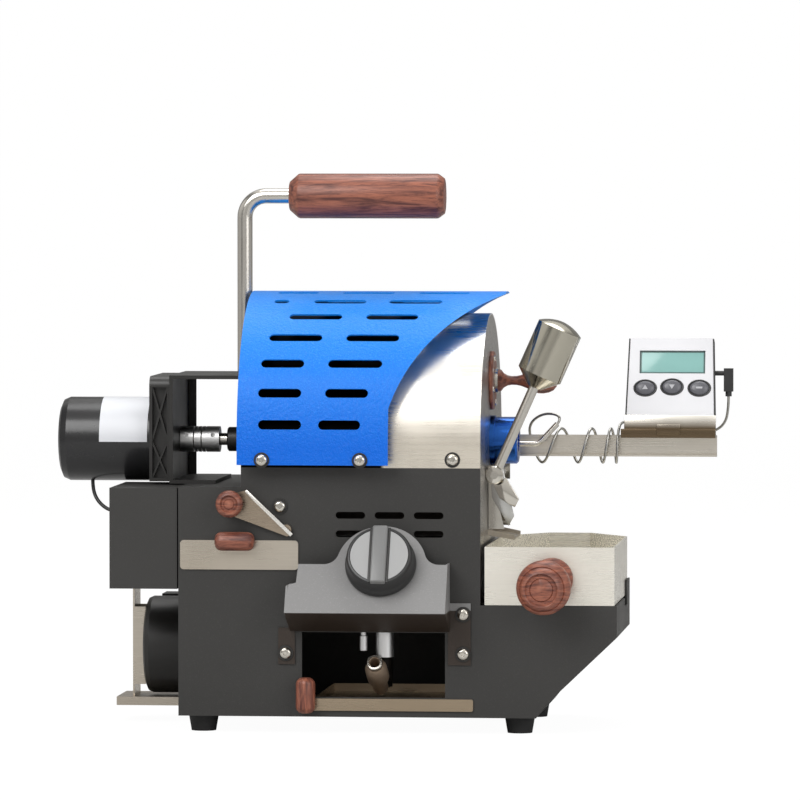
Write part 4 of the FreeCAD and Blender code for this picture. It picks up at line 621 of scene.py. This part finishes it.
def drawn_out(shape, corners, way):
    """A flat face through the corners, in metres, that is drawn out along a way."""
    face = shape.faces.new([shape.verts.new(corner) for corner in corners])
    made = bmesh.ops.extrude_face_region(shape, geom=[face])
    bmesh.ops.translate(shape, vec=way, verts=fresh(made))


def turned_piece(name, body, finish, profile, place, way, steps, smooth_angle=35):
    """A piece that is one profile spun round an axis."""
    return mesh_piece(name, body, finish, lambda shape: spun(shape, profile, place, way, steps),
                      smooth_angle)


def cut_piece(name, body, finish, corners, near, far):
    """A plate cut to (x, z) corners between two places along Y, in millimetres."""
    def work(shape):
        drawn_out(shape, [spot(x, near, z) for x, z in corners], (0, (far - near) / 1000, 0))
        bmesh.ops.bevel(shape, geom=shape.edges[:], offset=0.0004, affect="EDGES", segments=2,
                        profile=0.5, material=-1)

    return mesh_piece(name, body, finish, work)


def lead(name, points, thickness, finish):
    """A round lead on a smooth line whose control points are the route's of its solid."""
    curve = bpy.data.curves.new(name, "CURVE")
    curve.dimensions = "3D"
    curve.bevel_depth = 1.0
    curve.bevel_resolution = 4
    curve.resolution_u = 12
    curve.use_fill_caps = True
    line = curve.splines.new("NURBS")
    line.points.add(len(points) - 1)
    for target, place in zip(line.points, points):
        target.co = (*spot(*place), 1)
        target.radius = thickness / 2
    line.order_u = 3
    line.use_endpoint_u = True
    piece = bpy.data.objects.new(name, curve)
    bpy.context.scene.collection.objects.link(piece)
    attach(piece, "frame")
    piece.data.materials.append(FINISHES[finish])
    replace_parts(piece, name.replace("_line", ""))
    return piece


# The probe cable's turns round the arm: how many, the points of each, the first one's X, the
# middle of the arm in Y and Z, and the reach of the turns there
ARM_LOOPS = 3.75
LOOP_STEPS = 12
LOOP_X = 347.4
ARM_MIDDLE = (141.8, 227.25)
LOOP_REACH = (8.2, 14.4)


def probe_cable_points():
    """From the plug, behind the thermometer, round the arm and to the probe's bent tail."""
    start = [(437.03, 151.61, 267.83), (437.03, 151.61, 258.83), (434, 162, 245),
             (423, 173, 237), (399, 176, 233), (374, 172, 238), (354, 160, 246),
             (348.5, 143.8, 246.15)]
    loops = []
    for step in range(1, int(ARM_LOOPS * LOOP_STEPS) + 1):
        turn = step / LOOP_STEPS
        angle = math.tau * turn
        # Each turn lies further from the last one
        loops.append((LOOP_X - 2.0 * turn - 4.6 * turn ** 2,
                      ARM_MIDDLE[0] - LOOP_REACH[0] * math.sin(angle),
                      ARM_MIDDLE[1] + LOOP_REACH[1] * math.cos(angle)))
    end = [(272, 144.8, 244.65), (286, 136.8, 254.65), (302.21, 129.5, 251.95),
           (297.5, 129, 245.5)]
    return start + loops + end


MOTOR_LEAD = [(-84.3, 104, 198.62), (-84.3, 104, 189.6), (-78.3, 100, 179.6),
              (-67.3, 94.5, 173.1), (-56.3, 94.5, 173.1)]


class ROASTER_OT_camera(bpy.types.Operator):
    """Stand the camera where the roaster is seen from the front and a little from the right"""

    bl_idname = "roaster.camera"
    bl_label = "Camera"

    VIEW_MIDDLE = (169.96, AXIS_Y, 265.61)

    def execute(self, context):
        given = sizes()
        data = bpy.data.cameras.new("camera")
        data.lens = given.lens
        data.sensor_width = 36
        data.clip_end = 60
        camera = bpy.data.objects.new("camera", data)
        context.scene.collection.objects.link(camera)
        turn, rise = given.turn, given.rise
        ahead = Vector((-math.sin(turn) * math.cos(rise), math.cos(turn) * math.cos(rise),
                        -math.sin(rise)))
        camera.location = spot(*self.VIEW_MIDDLE) - ahead * given.distance
        camera.rotation_euler = ahead.to_track_quat("-Z", "Y").to_euler()
        context.scene.camera = camera
        return {"FINISHED"}


class ROASTER_OT_finishes(bpy.types.Operator):
    """Make the finishes and put them on every piece of the model"""

    bl_idname = "roaster.finishes"
    bl_label = "Finishes"

    def execute(self, context):
        GROUPS.update(make_groups())
        make_finishes()
        for finish, names in NODE_FINISH.items():
            for name in names:
                dress(NODES[name], finish)
        return {"FINISHED"}


class ROASTER_OT_leads(bpy.types.Operator):
    """Lay the probe's cable round the arm, and the motor's short lead"""

    bl_idname = "roaster.leads"
    bl_label = "Leads"

    def execute(self, context):
        given = sizes()
        lead("probe_cable_line", probe_cable_points(), given.cable_thickness, "braid_steel")
        lead("motor_lead_line", MOTOR_LEAD, given.lead_thickness, "black_moulding")
        return {"FINISHED"}


class ROASTER_OT_label(bpy.types.Operator):
    """Wrap a blank white label round the upper front of the motor"""

    bl_idname = "roaster.label"
    bl_label = "Motor label"

    MIDDLE = (-54.5, AXIS_Y, 233)
    # In metres, and in degrees from straight ahead towards the top
    MOTOR_RADIUS = 0.0344
    GAP = 0.00004
    WIDTH = 0.0395
    ARC = (-1.0, 118.0)

    def execute(self, context):
        wall = sizes().label_wall
        middle = spot(*self.MIDDLE)
        radius = self.MOTOR_RADIUS + self.GAP

        def work(shape):
            bmesh.ops.create_cone(shape, cap_ends=False, segments=180, radius1=radius,
                                  radius2=radius, depth=self.WIDTH,
                                  matrix=Matrix.Translation(middle) @ axis_turn(RIGHT))
            gone = []
            for face in shape.faces:
                centre = face.calc_center_median() - middle
                angle = math.degrees(math.atan2(centre.z, -centre.y))
                if not self.ARC[0] < angle < self.ARC[1]:
                    gone.append(face)
            bmesh.ops.delete(shape, geom=gone, context="FACES")
            bmesh.ops.recalc_face_normals(shape, faces=shape.faces)
            bmesh.ops.solidify(shape, geom=shape.faces[:], thickness=-wall)

        mesh_piece("motor_label", "frame", "label_film", work)
        return {"FINISHED"}


class ROASTER_OT_screws(bpy.types.Operator):
    """Button head screws with sockets on black washers, and the port's four small screws"""

    bl_idname = "roaster.screws"
    bl_label = "Screws"

    AHEAD = [(70, -18, 221.5), (149.3, -18, 221.5), (222.5, 0, 221.5), (82.8, 0, 183.4),
             (87.5, -1.5, 65), (231.4, -1.5, 65), (231.4, -1.5, 97)]
    BEHIND = [(70, 226, 221.5), (149.3, 226, 221.5)]
    HEAD = [(4.9, 1.0), (4.9, 1.5), (4.6, 2.5), (3.9, 3.3), (3.0, 3.75), (1.7, 3.8),
            (1.5, 3.6), (1.5, 2.3), (0, 2.3)]
    WASHER = [(0, 0.02), (6.2, 0.02), (6.3, 0.2), (6.3, 0.8), (6.1, 1.0), (4.0, 1.0)]
    PORT_HEAD = [(2.4, 0), (2.3, 0.8), (1.6, 1.4), (0.7, 1.6), (0, 1.6)]
    PORT_X = 248
    PORT_RING = 19.5
    PORT_TURNS = (20, 110, 200, 290)

    def execute(self, context):
        places = [(spot(*place), FORWARDS) for place in self.AHEAD]
        places += [(spot(*place), BACKWARDS) for place in self.BEHIND]

        def heads(shape):
            for place, way in places:
                spun(shape, self.HEAD, place, way, 24)
            for turn in self.PORT_TURNS:
                angle = math.radians(turn)
                y = AXIS_Y + self.PORT_RING * math.cos(angle)
                z = PORT_Z + self.PORT_RING * math.sin(angle)
                spun(shape, self.PORT_HEAD, spot(self.PORT_X, y, z), RIGHT, 18)

        def washers(shape):
            for place, way in places:
                spun(shape, self.WASHER, place, way, 32)

        made = mesh_piece("screw_heads", "frame", "bright_steel", heads)
        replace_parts(made, "button_screws")
        mesh_piece("screw_washers", "frame", "black_satin", washers)
        return {"FINISHED"}


class ROASTER_OT_gas_knob(bpy.types.Operator):
    """Gas knob: a black skirt, a grey face and a raised grip between two black strips of painted
    groove shade
    """

    bl_idname = "roaster.gas_knob"
    bl_label = "Gas knob"

    FOOT = (166.9, -21.213, 136.966)
    LEAN = 32
    SKIRT = [(0, 1.0), (27.6, 1.0), (28.6, 1.8), (28.6, 5.4), (28.0, 6.4), (27.0, 9),
             (26.6, 15.5), (26.2, 17.6), (25.2, 18.6), (23.9, 18.8), (23.4, 18.0), (0, 18.0)]
    FACE = [(0, 18.6), (23.3, 18.6), (23.3, 18.2), (0, 18.2)]
    # Bars on the face: name, finish, middle, width, length, height of the top, rounding
    BARS = [
        ("gas_knob_grip", "knob_grip", 0.0, 12.4, 51.6, 22.1, 1.6),
        # Two black strips beside the grip stand for the grooves' painted shade
        ("gas_knob_groove_shade_left", "black_satin", -7.2, 2.2, 50, 19.2, 0.4),
        ("gas_knob_groove_shade_right", "black_satin", 7.2, 2.2, 50, 19.2, 0.4),
    ]
    BAR_LOW = 15

    def execute(self, context):
        foot = spot(*self.FOOT)
        face, out = leaning_face(foot, self.LEAN)
        body = "gas_knob_body"
        made = turned_piece("gas_knob_skirt", body, "black_moulding", self.SKIRT, foot, out, 96)
        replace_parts(made, "gas_knob")
        turned_piece("gas_knob_face", body, "knob_face", self.FACE, foot, out, 96)
        for name, finish, middle, wide, long, high, round_off in self.BARS:
            low_corner = Vector((middle - wide / 2, -long / 2, self.BAR_LOW)) / 1000
            high_corner = Vector((middle + wide / 2, long / 2, high)) / 1000

            def bar(shape):
                block(shape, low_corner, high_corner, round_off, 4)
                bmesh.ops.transform(shape, matrix=face, verts=shape.verts[:])

            mesh_piece(name, body, finish, bar)
        return {"FINISHED"}


class ROASTER_OT_thermometer(bpy.types.Operator):
    """Thermometer: pale green screen, domed oval buttons in rims, side rails and lips with painted
    shade and reflection
    """

    bl_idname = "roaster.thermometer"
    bl_label = "Thermometer"

    FOOT = (353.2, 130.0, 240.10083)
    LEAN = 17
    # Blocks on the leaning face: name, finish, low and high corner, rounding, tip, and lean
    SLABS = [
        ("screen_frame", "screen_edge", (11.1, 48.1, 0.05), (64.9, 67.4, 0.7), 0.3, 0, 0),
        ("screen", "screen_film", (12.6, 49.6, 0.4), (63.6, 66.2, 1.1), 0.25, 0, 0),
        ("thermometer_lip", "lip_steel", (-0.6, -1.0, 3.4), (74.6, 12.0, 4.6), 0.35,
         math.radians(9), 0),
        ("thermometer_rail_left", "black_moulding", (-0.15, 9.0, -8.0), (1.0, 77.6, 3.6), 0.3, 0,
         -0.031),
        ("thermometer_rail_right", "black_moulding", (73.0, 9.0, -8.0), (74.15, 77.6, 3.6), 0.3,
         0, 0.031),
    ]
    # Bricks of the shelf under it: name, low and high corner, rounding
    # The shelf's lip_steel is painted shade, mostly dark brown below the lips' pale top
    SHELF = [
        ("shelf_lip", (350.2, 121.5, 234.6), (427.8, 122.4, 242.0), 0.3),
        ("shelf_clip", (379.6, 119.6, 236.4), (398.8, 120.6, 245.6), 0.35),
    ]
    # Buttons: place on the face, and the corners of the mark from there
    BUTTONS = {
        "button_left": (16.0, 35.5, [(-2.3, -1.5), (2.3, -1.5), (0, 2.2)]),
        "button_middle": (38.0, 36.5, [(-2.3, 1.5), (0, -2.2), (2.3, 1.5)]),
        "button_right": (60.5, 35.5, [(-2.6, -0.8), (2.6, -0.8), (2.6, 0.8), (-2.6, 0.8)]),
    }
    DOME = [(7.85, 1.5), (7.85, 3.4), (7.3, 4.1), (5.8, 4.7), (3.5, 5.1), (0, 5.2)]
    RIM = [(8.15, 2.9), (8.4, 3.5), (9.3, 3.6), (9.8, 3.1), (9.8, 2.95), (8.15, 2.9)]
    OVAL = Matrix.Diagonal((1, 0.75, 1, 1))
    # In metres: height of a mark's foot on its dome, and how far it stands out
    MARK_FOOT = 0.00515
    MARK_RISE = 0.00015

    def execute(self, context):
        self.face, _ = leaning_face(spot(*self.FOOT), self.LEAN)
        for row in self.SLABS:
            self.slab(*row)
        for name, low, high, round_off in self.SHELF:
            mesh_piece(name, "frame", "lip_steel",
                       lambda shape: block(shape, spot(*low), spot(*high), round_off))
        for name, (x, y, mark) in self.BUTTONS.items():
            self.button(name, x, y, mark)
        return {"FINISHED"}

    def slab(self, name, finish, low, high, round_off, tip, lean):
        """A block on the face, tipped about its lower edge and leaning sideways about its foot."""
        def work(shape):
            block(shape, Vector(low) / 1000, Vector(high) / 1000, round_off)
            foot = Matrix.Translation(Vector(((low[0] + high[0]) / 2, low[1], low[2])) / 1000)
            turn = Matrix.Rotation(tip, 4, "X") @ Matrix.Rotation(lean, 4, "Z")
            bmesh.ops.transform(shape, matrix=self.face @ foot @ turn @ foot.inverted(),
                                verts=shape.verts[:])

        mesh_piece(name, "frame", finish, work)

    def button(self, name, x, y, corners):
        """A domed oval button with its mark, and the rim round it."""
        place = self.face @ Matrix.Translation((x / 1000, y / 1000, 0)) @ self.OVAL

        def oval(profile):
            def work(shape):
                spun(shape, profile, Vector(), steps=48)
                bmesh.ops.transform(shape, matrix=place, verts=shape.verts[:])
            return work

        def mark(shape):
            drawn_out(shape, [((x + a) / 1000, (y + b) / 1000, self.MARK_FOOT)
                              for a, b in corners], (0, 0, self.MARK_RISE))
            bmesh.ops.transform(shape, matrix=self.face, verts=shape.verts[:])

        body = name.replace("button_", "") + "_button"
        made = mesh_piece(name + "_dome", body, "button_plastic", oval(self.DOME))
        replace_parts(made, name)
        mesh_piece(name + "_mark", body, "icon_print", mark)
        mesh_piece(name + "_rim", "frame", "black_moulding", oval(self.RIM))


class ROASTER_OT_gas_fittings(bpy.types.Operator):
    """Gas inlet with its bright mouth, and the thin pilot pipe beside it"""

    bl_idname = "roaster.gas_fittings"
    bl_label = "Gas fittings"

    MOUTH = (159, 4, 57.5)
    LEAN = 25
    INLET = [(0, 46), (4.1, 46), (4.1, 0.5), (4.5, 0), (5.9, 0), (6.2, 0.3), (6.2, 6.5),
             (6.8, 7.2), (8.6, 13), (9.0, 15), (9.0, 33), (8.6, 34.5), (6.2, 36), (6.2, 58),
             (0, 58)]
    COLLAR = [(4.3, 0.1), (4.6, -0.5), (6.0, -0.5), (6.5, 0.1), (6.5, 2.2), (6.25, 2.6),
              (6.15, 2.6), (6.15, 0.1), (4.3, 0.1)]
    PILOT = [(0, 0), (3.0, 0), (3.5, 0.5), (3.5, 12), (2.6, 12.6), (2.6, 24), (0, 24)]
    PILOT_ARM = [(0, 0), (2.2, 0), (2.2, 12), (0, 12)]

    def execute(self, context):
        mouth = spot(*self.MOUTH)
        lean = math.radians(self.LEAN)
        inwards = (0, math.cos(lean), -math.sin(lean))
        made = turned_piece("gas_inlet_pipe", "frame", "inlet_brass", self.INLET, mouth, inwards,
                            48)
        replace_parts(made, "gas_inlet")
        turned_piece("gas_inlet_mouth", "frame", "bright_steel", self.COLLAR, mouth, inwards, 48)

        def pilot(shape):
            spun(shape, self.PILOT, spot(149, 15, 66), UP, 32)
            spun(shape, self.PILOT_ARM, spot(148, 15, 87.5), RIGHT, 24)

        mesh_piece("pilot_pipe", "frame", "coupling_alloy", pilot)
        return {"FINISHED"}


class ROASTER_OT_castings(bpy.types.Operator):
    """The damper's fold with a painted highlight, and the small castings beside the discharge
    door's hinge
    """

    bl_idname = "roaster.castings"
    bl_label = "Damper edge and door castings"

    # A pale strip over the damper's fold: painted highlight
    EDGE = [(57.0, 197.4), (94.4, 161.8), (92.3, 159.6), (55.1, 195.4)]
    BOSS = [(0, 0), (7.4, 0), (7.4, 2.6), (6.6, 3.6), (3.2, 3.8), (3.2, 5.2), (0, 5.2)]
    GUSSET = [(247.5, 212), (257.5, 213.5), (267, 173), (262.5, 165), (249, 188)]
    FINGER = [(250, 200), (261, 204.5), (271.5, 187), (268, 180.5), (256, 187.5)]

    def execute(self, context):
        cut_piece("damper_fold_highlight", "damper", "fold_highlight_sheet", self.EDGE, -9.4, -10.4)
        turned_piece("door_boss", "door", "bright_steel", self.BOSS, spot(252, 52.6, 207),
                     FORWARDS, 36)
        cut_piece("door_gusset", "door", "alloy", self.GUSSET, 67, 64)
        cut_piece("door_finger", "door", "bright_steel", self.FINGER, 61.5, 58.5)
        return {"FINISHED"}


class ROASTER_OT_wood(bpy.types.Operator):
    """Turned rosewood: the handle's grip, the port's flange, the two pulls and the three knobs"""

    bl_idname = "roaster.wood"
    bl_label = "Turned wood"

    TRAY = [(0, 0.02), (16.4, 0.02), (17.2, 0.8), (17.2, 3.0), (16.4, 4.0), (13.5, 6.2),
            (11.7, 9.5), (11.2, 14), (12.2, 19), (15.5, 23.5), (19.6, 27), (21.6, 29.6),
            (22, 32), (21.5, 34.6), (20.2, 37), (18.4, 38.6), (17.6, 38.2), (17.2, 39.6),
            (15.4, 41.8), (13.6, 42.7), (12.9, 42.3), (12.2, 40.6), (9.6, 40.8), (9.2, 40.1),
            (8.7, 40.9), (0, 41.3)]
    DAMPER = [(0, 0.02), (8.2, 0.02), (8.5, 0.6), (8.4, 2.0), (6.4, 4.0), (5.8, 6.2),
              (6.8, 8.2), (9.8, 9.8), (11.0, 11.4), (10.9, 13.4), (9.9, 15.2), (8.4, 16.5),
              (7.3, 16.8), (6.6, 16.0), (6.1, 14.8), (4.4, 15.0), (4.1, 14.5), (3.8, 15.1),
              (0, 15.3)]
    SAMPLER = [(0, 0.02), (9, 0.02), (9.2, 1.2), (8.6, 2.4), (5.9, 4.5), (4.2, 7.6), (3.6, 11),
               (3.7, 15), (4.6, 19), (6.6, 24), (9.4, 29), (10.5, 33), (10.6, 37), (9.8, 41.5),
               (8.2, 45), (5.2, 47.6), (0, 48.8)]
    GRIP = [(6.4, 2.2), (11.2, 0), (11.9, 0.25), (18.0, 7.2), (18.4, 8.6), (18.4, 121.4),
            (18.0, 122.8), (14.6, 127.4), (13.6, 127.7), (0, 127.7)]
    FLANGE = [(10.8, 0), (23.6, 0), (24, 0.4), (24, 1.9), (23.4, 2.7), (21.6, 3), (12.6, 3),
              (12, 2.4), (10.8, 2.4)]
    DRAWER = [(0, -16), (3.6, -15.9), (5.4, -15.0), (6.9, -13.4), (7.5, -11.2), (7.6, -8),
              (7.6, 8), (7.5, 11.2), (6.9, 13.4), (5.4, 15.0), (3.6, 15.9), (0, 16)]
    DRIP = [(0, -14.5), (3.8, -14.4), (5.6, -13.4), (7.2, -11.6), (7.8, -9.4), (7.8, 9.4),
            (7.2, 11.6), (5.6, 13.4), (3.8, 14.4), (0, 14.5)]
    # How far the tray's knob drifts across and down for each step out of the tray
    TRAY_DRIFT = (-0.137, -0.16)
    # A pull's grooves: their place as a share of its radius, half their width and their depth
    GROOVE_SHARE = 0.383
    GROOVE_REACH = 0.0006
    GROOVE_DEPTH = 0.0005

    def execute(self, context):
        self.replace("tray_knob", "cooling_tray_body", "wood_endways", self.tray_knob)
        for node, body, finish, profile, place, way, steps in (
                ("damper_knob", "damper", "wood_endways", self.DAMPER, (43.6, -4.5, 186),
                 FORWARDS, 64),
                ("handle_grip", "frame", "wood_across", self.GRIP, (79.3, AXIS_Y, 432.8),
                 RIGHT, 72),
                ("port_flange", "frame", "wood_upright", self.FLANGE, (245, AXIS_Y, PORT_Z),
                 RIGHT, 72),
                ("sampler_knob", "sampler", "wood_across", self.SAMPLER, (251, AXIS_Y, PORT_Z),
                 RIGHT, 64)):
            self.replace(node, body, finish,
                         lambda shape: spun(shape, profile, spot(*place), way, steps))
        for node, body, finish, profile, place, way, radius in (
                ("drawer_pull", "chaff_drawer_body", "wood_across", self.DRAWER,
                 (47, -9.1, 155.4), RIGHT, 7.6),
                ("drip_tray_pull", "drip_tray_body", "wood_upright", self.DRIP,
                 (104.5, -9.3, 31.4), UP, 7.8)):
            self.replace(node, body, finish,
                         lambda shape: self.bead(shape, profile, spot(*place), way, radius))
        return {"FINISHED"}

    def replace(self, node, body, finish, work):
        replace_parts(mesh_piece("turned_" + node, body, finish, work, 50), node)

    def tray_knob(self, shape):
        """A knob whose axis leans across and down from the tray's front."""
        spun(shape, self.TRAY, Vector(), steps=72)
        drift = Matrix.Identity(4)
        drift[0][2], drift[1][2] = self.TRAY_DRIFT
        outwards = Matrix(((1, 0, 0, 0), (0, 0, -1, 0), (0, 1, 0, 0), (0, 0, 0, 1)))
        place = Matrix.Translation(spot(303, 0, 126.2))
        bmesh.ops.transform(shape, matrix=place @ outwards @ drift, verts=shape.verts[:])

    def bead(self, shape, profile, place, way, radius):
        """An oblong bead with two grooves along it, as where its halves meet."""
        spun(shape, profile, place, way, 48)
        lying = way == RIGHT
        groove = radius * self.GROOVE_SHARE / 1000
        for vert in shape.verts:
            away = vert.co - place
            rise = abs(away.z if lying else away.x)
            if abs(rise - groove) < self.GROOVE_REACH:
                across = Vector((0, away.y, away.z)) if lying else Vector((away.x, away.y, 0))
                if across.length > 0:
                    vert.co -= across.normalized() * self.GROOVE_DEPTH


class ROASTER_OT_stage(bpy.types.Operator):
    """Pale floor and backdrop, and soft studio light"""

    bl_idname = "roaster.stage"
    bl_label = "Stage"

    # The floor reaches this far each way, and curves up behind into a backdrop
    FLOOR_REACH = 4
    CURVE_RADIUS = 1
    CURVE_STEPS = 8
    BACKDROP_TOP = 4
    # Lamps: name, place, size, power
    LAMPS = [
        ("key", (-1.1, -2.0, 1.9), 1.6, 46),
        ("fill", (1.7, -1.7, 1.0), 1.4, 17),
        ("top", (0.2, 0.5, 2.3), 1.6, 26),
    ]
    LIT_PLACE = (0, 0, 0.2)

    def execute(self, context):
        self.floor(context)
        self.world(context)
        for row in self.LAMPS:
            self.lamp(context, *row)
        return {"FINISHED"}

    def floor(self, context):
        mesh = bpy.data.meshes.new("floor")
        shape = bmesh.new()
        bmesh.ops.create_grid(shape, x_segments=1, y_segments=1, size=self.FLOOR_REACH)
        far = [edge for edge in shape.edges if all(vert.co.y > 0 for vert in edge.verts)]
        for step in range(1, self.CURVE_STEPS + 1):
            made = bmesh.ops.extrude_edge_only(shape, edges=far)
            angle = math.radians(step * 90 / self.CURVE_STEPS)
            for vert in fresh(made):
                vert.co.y = self.FLOOR_REACH + self.CURVE_RADIUS * math.sin(angle)
                vert.co.z = self.CURVE_RADIUS * (1 - math.cos(angle))
            far = fresh(made, bmesh.types.BMEdge)
        made = bmesh.ops.extrude_edge_only(shape, edges=far)
        for vert in fresh(made):
            vert.co.z = self.BACKDROP_TOP
        bmesh.ops.recalc_face_normals(shape, faces=shape.faces)
        for face in shape.faces:
            face.smooth = True
        shape.to_mesh(mesh)
        shape.free()
        floor = bpy.data.objects.new("floor", mesh)
        context.scene.collection.objects.link(floor)
        floor.data.materials.append(self.paper())

    def paper(self):
        """White to the camera, but for the shadow, and pale grey to the lamps and to gloss."""
        material = bpy.data.materials.new("floor_paper")
        material.use_nodes = True
        nodes = material.node_tree.nodes
        nodes.remove(nodes["Principled BSDF"])
        shader = Shader(material.node_tree)
        paper = shader.add("ShaderNodeBsdfDiffuse", inputs={"Color": (0.58, 0.575, 0.565)})
        glow = shader.add("ShaderNodeEmission", inputs={"Color": (1.0, 1.0, 1.0),
                                                        "Strength": 1.075})
        path = shader.add("ShaderNodeLightPath")
        share = shader.sum(path.outputs["Is Camera Ray"], 0.90, "MULTIPLY")
        mix = shader.add("ShaderNodeMixShader")
        shader.put(share, mix.inputs[0])
        shader.put(paper.outputs[0], mix.inputs[1])
        shader.put(glow.outputs[0], mix.inputs[2])
        shader.put(mix.outputs[0], nodes["Material Output"].inputs["Surface"])
        return material

    def world(self, context):
        """White to the camera, grey as light, and a pale room with two dark bands to gloss."""
        world = bpy.data.worlds.new("studio")
        context.scene.world = world
        world.use_nodes = True
        shader = Shader(world.node_tree)
        ground = world.node_tree.nodes["Background"]
        ways = shader.ways("Generated")
        rise = shader.span(ways["Z"], -0.1, 0.7, 0.50, 0.95)
        side = ways["X"]
        right = shader.sum(shader.span(side, 0.42, 0.60, 1.0, 0.30),
                           shader.span(side, 0.72, 0.86, 0.0, 0.75))
        left = shader.sum(shader.span(side, -0.60, -0.42, 0.30, 1.0),
                          shader.span(side, -0.86, -0.72, 0.75, 0.0))
        shade = shader.sum(shader.sum(right, left, "MINIMUM"), rise, "MULTIPLY")
        path = shader.add("ShaderNodeLightPath")
        tone = shader.blend(path.outputs["Is Camera Ray"], (0.5, 0.5, 0.5), (1.0, 1.0, 1.0))
        room = shader.blend(shade, (0.0, 0.0, 0.0), (1.0, 0.985, 0.96))
        shader.put(shader.blend(path.outputs["Is Glossy Ray"], tone, room), ground.inputs["Color"])
        ground.inputs["Strength"].default_value = 1.0

    def lamp(self, context, name, place, size, power):
        data = bpy.data.lights.new(name, "AREA")
        data.size = size
        data.energy = power
        lamp = bpy.data.objects.new(name, data)
        lamp.location = place
        towards = Vector(self.LIT_PLACE) - Vector(place)
        lamp.rotation_euler = towards.to_track_quat("-Z", "Y").to_euler()
        context.scene.collection.objects.link(lamp)


class ROASTER_PT_looks(bpy.types.Panel):
    """Lists the roaster's steps, finishes and sizes."""

    bl_label = "Coffee Roaster"
    bl_idname = "ROASTER_PT_looks"
    bl_space_type = "VIEW_3D"
    bl_region_type = "UI"
    bl_category = "Roaster"

    def draw(self, context):
        for step in STEPS:
            self.layout.operator(step.bl_idname)
        for group in (finishes(), sizes()):
            for name in type(group).__annotations__:
                self.layout.prop(group, name)


STEPS = [
    ROASTER_OT_camera, ROASTER_OT_finishes, ROASTER_OT_leads, ROASTER_OT_label,
    ROASTER_OT_screws, ROASTER_OT_gas_knob, ROASTER_OT_thermometer, ROASTER_OT_gas_fittings,
    ROASTER_OT_castings, ROASTER_OT_wood, ROASTER_OT_stage,
]
CLASSES = [RoasterFinishes, RoasterSizes, *STEPS, ROASTER_PT_looks]


def register():
    for kind in CLASSES:
        bpy.utils.register_class(kind)
    bpy.types.Scene.roaster_finishes = PointerProperty(type=RoasterFinishes)
    bpy.types.Scene.roaster_sizes = PointerProperty(type=RoasterSizes)


def unregister():
    del bpy.types.Scene.roaster_sizes
    del bpy.types.Scene.roaster_finishes
    for kind in reversed(CLASSES):
        bpy.utils.unregister_class(kind)


def main():
    register()
    bpy.context.scene.view_settings.view_transform = "Standard"
    for step in STEPS:
        area, name = step.bl_idname.split(".")
        getattr(getattr(bpy.ops, area), name)()


if __name__ == "__main__":
    main()
